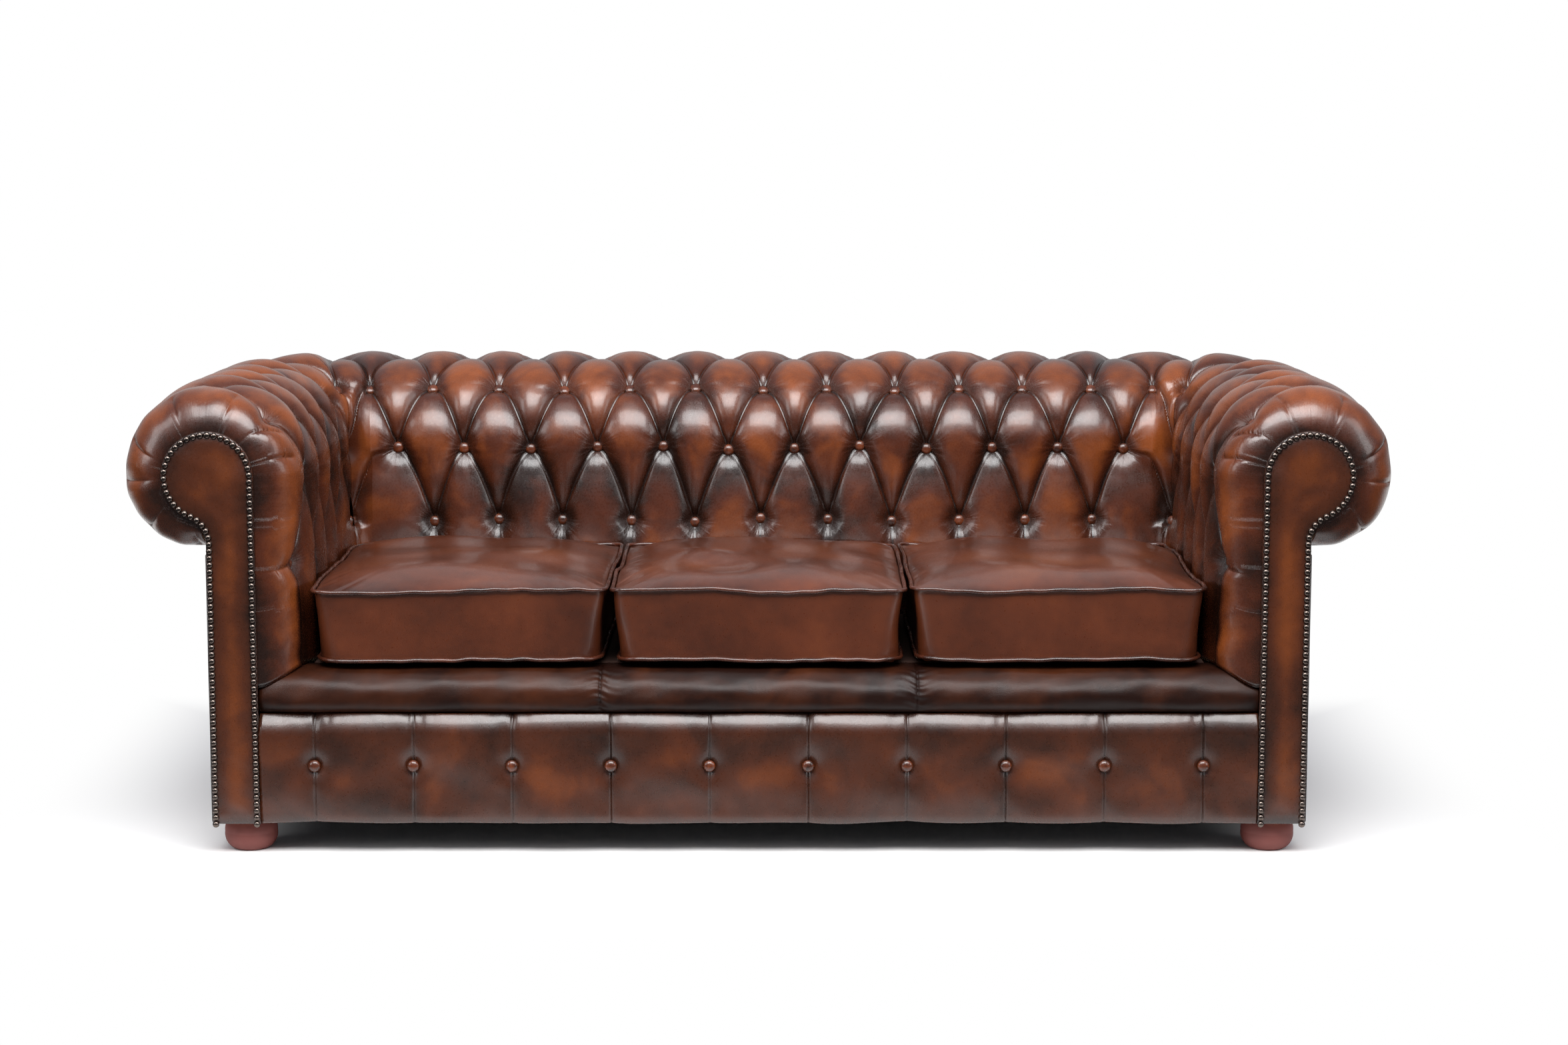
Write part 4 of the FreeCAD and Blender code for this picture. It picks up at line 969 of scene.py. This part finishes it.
def softened_rectangle(u, v, half_x, half_d, corner):
    """Maps the square -1..1 onto a rectangle with rounded corners."""
    x = half_x * u
    y = half_d * v
    a = np.clip((np.abs(x) - (half_x - corner)) / corner, 0, 1)
    b = np.clip((np.abs(y) - (half_d - corner)) / corner, 0, 1)
    turned = (a > 0) & (b > 0)
    round_a = a * np.sqrt(1 - b * b / 2)
    round_b = b * np.sqrt(1 - a * a / 2)
    x = np.where(turned, np.sign(x) * (half_x - corner + corner * round_a), x)
    y = np.where(turned, np.sign(y) * (half_d - corner + corner * round_b), y)
    return x, y


def spread(count):
    """Grid lines from -1 to 1, closer near both ends."""
    reach = math.pi / 2 * 0.72
    return np.sin(np.linspace(-1, 1, count) * reach) / math.sin(reach)


def rim_order(count_u, count_v):
    """Grid places round the rim, anticlockwise seen from above."""
    order = [(i, 0) for i in range(count_u)]
    order += [(count_u - 1, j) for j in range(1, count_v)]
    order += [(i, count_v - 1) for i in range(count_u - 2, -1, -1)]
    order += [(0, j) for j in range(count_v - 2, 0, -1)]
    return order


RIM = np.array([i * DEEP + j for i, j in rim_order(ACROSS, DEEP)])
SQUARE_U, SQUARE_V = np.meshgrid(spread(ACROSS), spread(DEEP), indexing="ij")


def cushion_ring(level, outwards=0.0):
    """Rim at a height share of the boxing: its foot is a little smaller and rounder."""
    shrink = FOOT_IN * (1 - level) ** 1.5 - outwards
    corner = TOP_CORNER + LOW_CORNER_MORE * (1 - level) ** 1.2
    return softened_rectangle(SQUARE_U.ravel()[RIM], SQUARE_V.ravel()[RIM], HALF_X - shrink, HALF_D - shrink, corner)


def sway(points, seed, x_middle):
    """Puts points of a cushion in place with the slack of a used one: slow shifts that cover and piping share."""
    x, y, z = points[..., 0], points[..., 1], points[..., 2]
    level = (z - LOW_PIPE) / BOXING
    moved = points.copy()
    moved[..., 0] += 0.0014 * ripple(y, z, seed, 0.24) + x_middle
    moved[..., 1] += 0.0018 * ripple(x, z, seed + 1, 0.26) + CUSHION_Y
    moved[..., 2] += (0.0016 * np.clip(level, 0, 1) + 0.0014) * ripple(x, y, seed + 2, 0.22)
    return moved


def cushion_top(x_middle, seed):
    """Crowned top panel and its wear."""
    x, y = softened_rectangle(SQUARE_U, SQUARE_V, HALF_X, HALF_D, TOP_CORNER)
    from_side = HALF_X - np.abs(x)
    from_end = HALF_D - np.abs(y)
    away = np.minimum(from_side, from_end)
    edge_x = np.clip(from_side / 0.165, 0, 1)
    edge_y = np.clip(from_end / 0.185, 0, 1)
    crown = (CROWN - 0.001) * ((1 - (1 - edge_x) ** 2.6) * (1 - (1 - edge_y) ** 2.6)) ** 0.80
    slack = 0.0016 * ripple(x + x_middle, y, seed + 5, 0.17) * np.clip(away / 0.03, 0, 1)
    around = np.arctan2(y / HALF_D, x / HALF_X)
    puckers = (0.0009 * ripple(around * 0.9, 0 * around, seed + 6, 0.05) * np.exp(-away / 0.030)
               * np.clip(away / 0.004, 0, 1))
    corner_pull = 0.0045 * np.exp(-np.hypot(from_side, from_end) / 0.055) * np.clip(away / 0.01, 0, 1)
    seam = 0.0022 * np.exp(-away / 0.006)
    z = HIGH_PIPE + crown + slack + puckers - corner_pull - seam
    tone = 0.10 * ripple(x, y, seed + 8, 0.22)
    tone += 0.16 * np.exp(-((y + 0.10) / 0.14) ** 2) * np.clip(edge_x * 1.6, 0, 1) - 0.20 * np.exp(-away / 0.020)
    return np.stack([x, y, z], -1).reshape(-1, 3), tone.ravel()


def cushion_underside():
    x, y = softened_rectangle(SQUARE_U, SQUARE_V, HALF_X - FOOT_IN, HALF_D - FOOT_IN, TOP_CORNER + LOW_CORNER_MORE)
    away = np.minimum(HALF_X - FOOT_IN - np.abs(x), HALF_D - FOOT_IN - np.abs(y))
    z = LOW_PIPE - 0.0137 * np.clip(away / 0.05, 0, 1) ** 0.6
    return np.stack([x, y, z], -1).reshape(-1, 3)


def cushion_wall(level, seed):
    """One ring of the boxing between the two pipings, drawn in at its waist, and its colour value: random tone,
    painted lighter towards the top as painted light.
    """
    x, y = cushion_ring(level)
    round_way = x + y
    up = np.full_like(x, level * BOXING)
    waist = (0.0030 * math.sin(math.pi * level)
             + 0.0016 * (math.exp(-level / 0.05) + math.exp(-(1 - level) / 0.05)))
    inwards = waist + 0.0009 * ripple(round_way, up, seed + 11, 0.13) * math.sin(math.pi * level)
    run_x = np.roll(x, -1) - np.roll(x, 1)
    run_y = np.roll(y, -1) - np.roll(y, 1)
    run = np.hypot(run_x, run_y)
    ring = np.stack([x - run_y / run * inwards, y + run_x / run * inwards, LOW_PIPE + up], -1)
    # Random tone, and lighter towards the top of the boxing: painted light.
    return ring, 0.05 * ripple(round_way, up, seed + 12, 0.16) + 0.06 * level - 0.04


def piping(name, x_middle, seed):
    """Covered cord round both edges of a cushion."""
    tubes = []
    faces = []
    count = len(RIM)
    turns = np.linspace(0, 2 * math.pi, PIPE_SIDES + 1)[:-1]
    for offset, level in ((0, 1.0), (count * PIPE_SIDES, 0.0)):
        x, y = cushion_ring(level, PIPE / 2 - 0.0006)
        z = np.full_like(x, LOW_PIPE + level * BOXING) + 0.0008 * ripple(x, y, seed + 15, 0.05)
        path = sway(np.stack([x, y, z], -1), seed, x_middle)
        ahead = np.roll(path, -1, 0) - np.roll(path, 1, 0)
        ahead /= np.linalg.norm(ahead, axis=1, keepdims=True)
        side = np.cross(ahead, (0, 0, 1))
        side /= np.linalg.norm(side, axis=1, keepdims=True)
        up = np.cross(side, ahead)
        spokes = [path + PIPE / 2 * (math.cos(a) * side + math.sin(a) * up) for a in turns]
        tubes.append(np.stack(spokes, 1).reshape(-1, 3))
        for k in range(count):
            j = (k + 1) % count
            for m in range(PIPE_SIDES):
                n = (m + 1) % PIPE_SIDES
                faces.append(tuple(offset + PIPE_SIDES * ring + spoke for ring, spoke in
                                   ((k, m), (k, n), (j, n), (j, m))))
    cord = mesh_object("cushion_piping_cord_" + name, np.concatenate(tubes), faces, piping_leather,
                       "cushion_" + name, "cushion_piping_" + name)


def cushion(name, x_middle, seed):
    """Cover with its foam, as one closed form: crowned top, boxing and underside, and its piping."""
    top, top_wear = cushion_top(x_middle, seed)
    walls, wall_wear_and_light = zip(*(cushion_wall(level, seed) for level in np.linspace(1, 0, 26)[1:-1]))
    points = sway(np.concatenate([top, cushion_underside(), *walls]), seed, x_middle)
    panel = ACROSS * DEEP
    faces = [tuple(q) for q in grid_faces(ACROSS, DEEP)]
    faces += [tuple(q + panel) for q in grid_faces(ACROSS, DEEP, flip=True)]
    count = len(RIM)
    loops = [RIM] + [2 * panel + k * count + np.arange(count) for k in range(len(walls))] + [RIM + panel]
    for one, other in zip(loops, loops[1:]):
        for k in range(count):
            j = (k + 1) % count
            faces.append((one[k], other[k], other[j], one[j]))
    wear = np.concatenate([top_wear, np.zeros(panel), *wall_wear_and_light])
    made = mesh_object("cushion_" + name, points, faces, seat_leather, "cushion_" + name, "cushion_cover_" + name,
                       "cushion_foam_" + name, values={"wear": wear})
    piping(name, x_middle, seed)


for k, cushion_name in enumerate(("left", "middle", "right")):
    cushion(cushion_name, (k - 1) * (CUSHION_WIDTH + CUSHION_GAP), 100 + 20 * k)


# Outside panels, platform and dust cover

def drawn_panel(name, corner, along, up, out, seed, node):
    """Leather drawn over a flat side of the frame, with soft edges. corner, along, up and out are vectors."""
    corner, along, up, out = (np.array(v, float) for v in (corner, along, up, out))
    wide, high = np.linalg.norm(along), np.linalg.norm(up)
    s = fine_steps(0, wide, 0.02, (0, wide), 0.002, 0.012)
    t = fine_steps(0, high, 0.02, (0, high), 0.002, 0.012)
    S, T = np.meshgrid(s, t)
    away = np.minimum(np.minimum(S, wide - S), np.minimum(T, high - T))
    curl = 0.005 * rounded_edge(1 - np.clip(away / 0.008, 0, 1))
    wave = 0.0012 * ripple(S, T, seed, 0.30) * np.clip(away / 0.04, 0, 1)
    rise = 0.0062 - curl - np.abs(wave)
    flat = corner + S[..., None] * along / wide + T[..., None] * up / high
    face = flat + rise[..., None] * out
    grid = S.size
    faces = [tuple(q) for q in grid_faces(*S.shape)] + [tuple(q + grid) for q in grid_faces(*S.shape, flip=True)]
    rim = [i * len(s) + j for j, i in rim_order(len(s), len(t))]
    faces += [(a, a + grid, b + grid, b) for a, b in zip(rim, rim[1:] + rim[:1])]
    tone = 0.18 * ripple(S, T, seed + 1, 0.35) - 0.25 * np.exp(-away / 0.04)
    made = mesh_object(name, np.concatenate([face.reshape(-1, 3), flat.reshape(-1, 3)]), faces, panel_leather, "sofa",
                       node, values={"wear": np.concatenate([tone.ravel(), np.full(grid, -0.3)])})


def box_of(node):
    low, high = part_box(node)
    return np.array(low, float), np.array(high, float)


for side, name in SIDES.items():
    low, high = box_of("outside_arm_" + name)
    drawn_panel("outside_arm_leather_" + name, (high[0] if side < 0 else low[0], low[1], low[2]),
                (0, high[1] - low[1], 0), (0, 0, high[2] - low[2]), (side, 0, 0), 140 + side, "outside_arm_" + name)
low, high = box_of("outside_back")
drawn_panel("outside_back_leather", low, (high[0] - low[0], 0, 0), (0, 0, high[2] - low[2]), (0, 1, 0), 145,
            "outside_back")


def slab(name, plan, low, high, finish, node):
    """Flat piece of the given plan between two levels."""
    count = len(plan)
    points = [(x, y, low) for x, y in plan] + [(x, y, high) for x, y in plan]
    faces = [tuple(range(count - 1, -1, -1)), tuple(range(count, 2 * count))]
    faces += [(k, (k + 1) % count, count + (k + 1) % count, count + k) for k in range(count)]
    return mesh_object(name, points, faces, finish, "sofa", node, smooth=False)


def rounded_plan(low, high, radius=0.029):
    """Plan of a box whose two back corners are rounded."""
    turns = np.linspace(0, math.pi / 2, 9)
    plan = [(low[0], low[1]), (high[0], low[1])]
    plan += [(high[0] - radius + radius * math.cos(a), high[1] - radius + radius * math.sin(a)) for a in turns]
    plan += [(low[0] + radius - radius * math.sin(a), high[1] - radius + radius * math.cos(a)) for a in turns]
    return plan


low, high = box_of("seat_pad")
pad = slab("seat_foam_pad", rounded_plan(low, high), high[2] - 0.040, high[2], foam, "seat_pad")
low, high = box_of("seat_platform_cloth")
cloth = slab("seat_platform", rounded_plan(low, high), high[2] - 0.0012, high[2], platform_cloth,
             "seat_platform_cloth")
low, high = box_of("dust_cover")
under = slab("dust_cloth", [(low[0], low[1]), (high[0], low[1]), (high[0], high[1]), (low[0], high[1])], low[2],
             high[2], black_cloth, "dust_cover")


# Floor, light and camera

def shows_white(tree, behind):
    """1 for rays that show the white backdrop: all from the camera, and those of shiny surfaces towards it."""
    path = add(tree, "ShaderNodeLightPath")
    shiny = add(tree, "ShaderNodeMath", {0: (path, "Is Glossy Ray"), 1: (path, "Is Transmission Ray")},
                operation="MAXIMUM")
    turned = add(tree, "ShaderNodeMath", {0: (shiny, 0), 1: behind}, operation="MULTIPLY")
    return add(tree, "ShaderNodeMath", {0: (path, "Is Camera Ray"), 1: (turned, 0)}, operation="MAXIMUM")


def backdrop():
    """White paper behind the sofa; the rest of the studio is dim."""
    world = bpy.context.scene.world or bpy.data.worlds.new("Surround")
    bpy.context.scene.world = world
    world.use_nodes = True
    tree = world.node_tree
    tree.nodes.clear()
    place = add(tree, "ShaderNodeTexCoord")
    way = add(tree, "ShaderNodeSeparateXYZ", {0: (place, "Generated")})
    behind = add(tree, "ShaderNodeMapRange", {"Value": (way, "Y"), "From Min": 0.2, "From Max": 0.9,
                                              "To Max": 0.4})
    shown = shows_white(tree, (behind, "Result"))
    white = add(tree, "ShaderNodeBackground", {"Color": (1, 1, 1, 1), "Strength": 1.0})
    high = add(tree, "ShaderNodeMapRange", {"Value": (way, "Z"), "From Min": -0.1, "From Max": 0.9, "To Min": 0.05,
                                            "To Max": 0.45})
    dim = add(tree, "ShaderNodeBackground", {"Color": linear("#eef1ff"), "Strength": (high, "Result")})
    mixed = add(tree, "ShaderNodeMixShader", {0: (shown, 0), 1: (dim, 0), 2: (white, 0)})
    add(tree, "ShaderNodeOutputWorld", {"Surface": (mixed, 0)})


def floor_finish():
    """Pale paper under the sofa, which keeps its shadow and runs out into the white backdrop."""
    made, tree, out = material("White_studio_paper")
    paper = add(tree, "ShaderNodeBsdfPrincipled", {"Base Color": linear("#f4f3f2"), "Roughness": 0.6,
                                                   "Specular IOR Level": 0.2})
    studio = add(tree, "ShaderNodeBsdfDiffuse", {"Color": linear("#4a4a4a")})
    white = add(tree, "ShaderNodeEmission", {"Color": (1, 1, 1, 1), "Strength": 1.0})
    place = add(tree, "ShaderNodeTexCoord")
    split = add(tree, "ShaderNodeSeparateXYZ", {0: (place, "Object")})
    wide = add(tree, "ShaderNodeMath", {0: (split, "X")}, operation="ABSOLUTE")
    deep = add(tree, "ShaderNodeMath", {0: (split, "Y")}, operation="ABSOLUTE")
    aside = add(tree, "ShaderNodeMapRange", {"Value": (wide, 0), "From Min": 0.90, "From Max": 1.30},
                interpolation_type="SMOOTHSTEP")
    away = add(tree, "ShaderNodeMapRange", {"Value": (deep, 0), "From Min": 0.46, "From Max": 0.95},
               interpolation_type="SMOOTHSTEP")
    far = add(tree, "ShaderNodeMath", {0: (aside, "Result"), 1: (away, "Result")}, operation="MAXIMUM")
    behind = add(tree, "ShaderNodeMapRange", {"Value": (split, "Y"), "From Min": 0.0, "From Max": 0.6})
    shown = shows_white(tree, (behind, "Result"))
    beyond = add(tree, "ShaderNodeMixShader", {0: (shown, 0), 1: (studio, 0), 2: (white, 0)})
    mixed = add(tree, "ShaderNodeMixShader", {0: (far, 0), 1: (paper, 0), 2: (beyond, 0)})
    tree.links.new(mixed.outputs[0], out.inputs["Surface"])
    return made


def floor():
    made = bpy.data.meshes.new("floor")
    made.from_pydata([(-4, -4, 0), (4, -4, 0), (4, 4, 0), (-4, 4, 0)], [], [(0, 1, 2, 3)])
    made.materials.append(floor_finish())
    sheet = bpy.data.objects.new("floor", made)
    bpy.context.scene.collection.objects.link(sheet)


def softbox(name, place, aim, wide, high, power):
    lamp = bpy.data.lights.new(name, "AREA")
    lamp.shape = "RECTANGLE"
    lamp.size = wide
    lamp.size_y = high
    lamp.energy = power
    made = bpy.data.objects.new(name, lamp)
    bpy.context.scene.collection.objects.link(made)
    made.location = place
    made.rotation_euler = (Vector(aim) - Vector(place)).to_track_quat("-Z", "Y").to_euler()


def camera():
    view = bpy.data.cameras.new("camera")
    view.lens = 67.04
    view.sensor_width = 36.0
    made = bpy.data.objects.new("camera", view)
    bpy.context.scene.collection.objects.link(made)
    made.location = (0.0405, -5.0424, 1.14)
    made.rotation_euler = (math.radians(90 - 7.4), 0, 0)
    bpy.context.scene.camera = made


backdrop()
floor()
softbox("overhead_softbox", (0, -2.0, 2.65), (0, 0.1, 0.5), 3.4, 1.5, 165)
softbox("left_softbox", (-3.0, -1.8, 1.7), (-0.3, 0, 0.6), 0.9, 1.8, 25)
softbox("right_softbox", (3.0, -1.8, 1.7), (0.3, 0, 0.6), 0.9, 1.8, 22)
camera()
bpy.context.scene.view_settings.view_transform = "Standard"
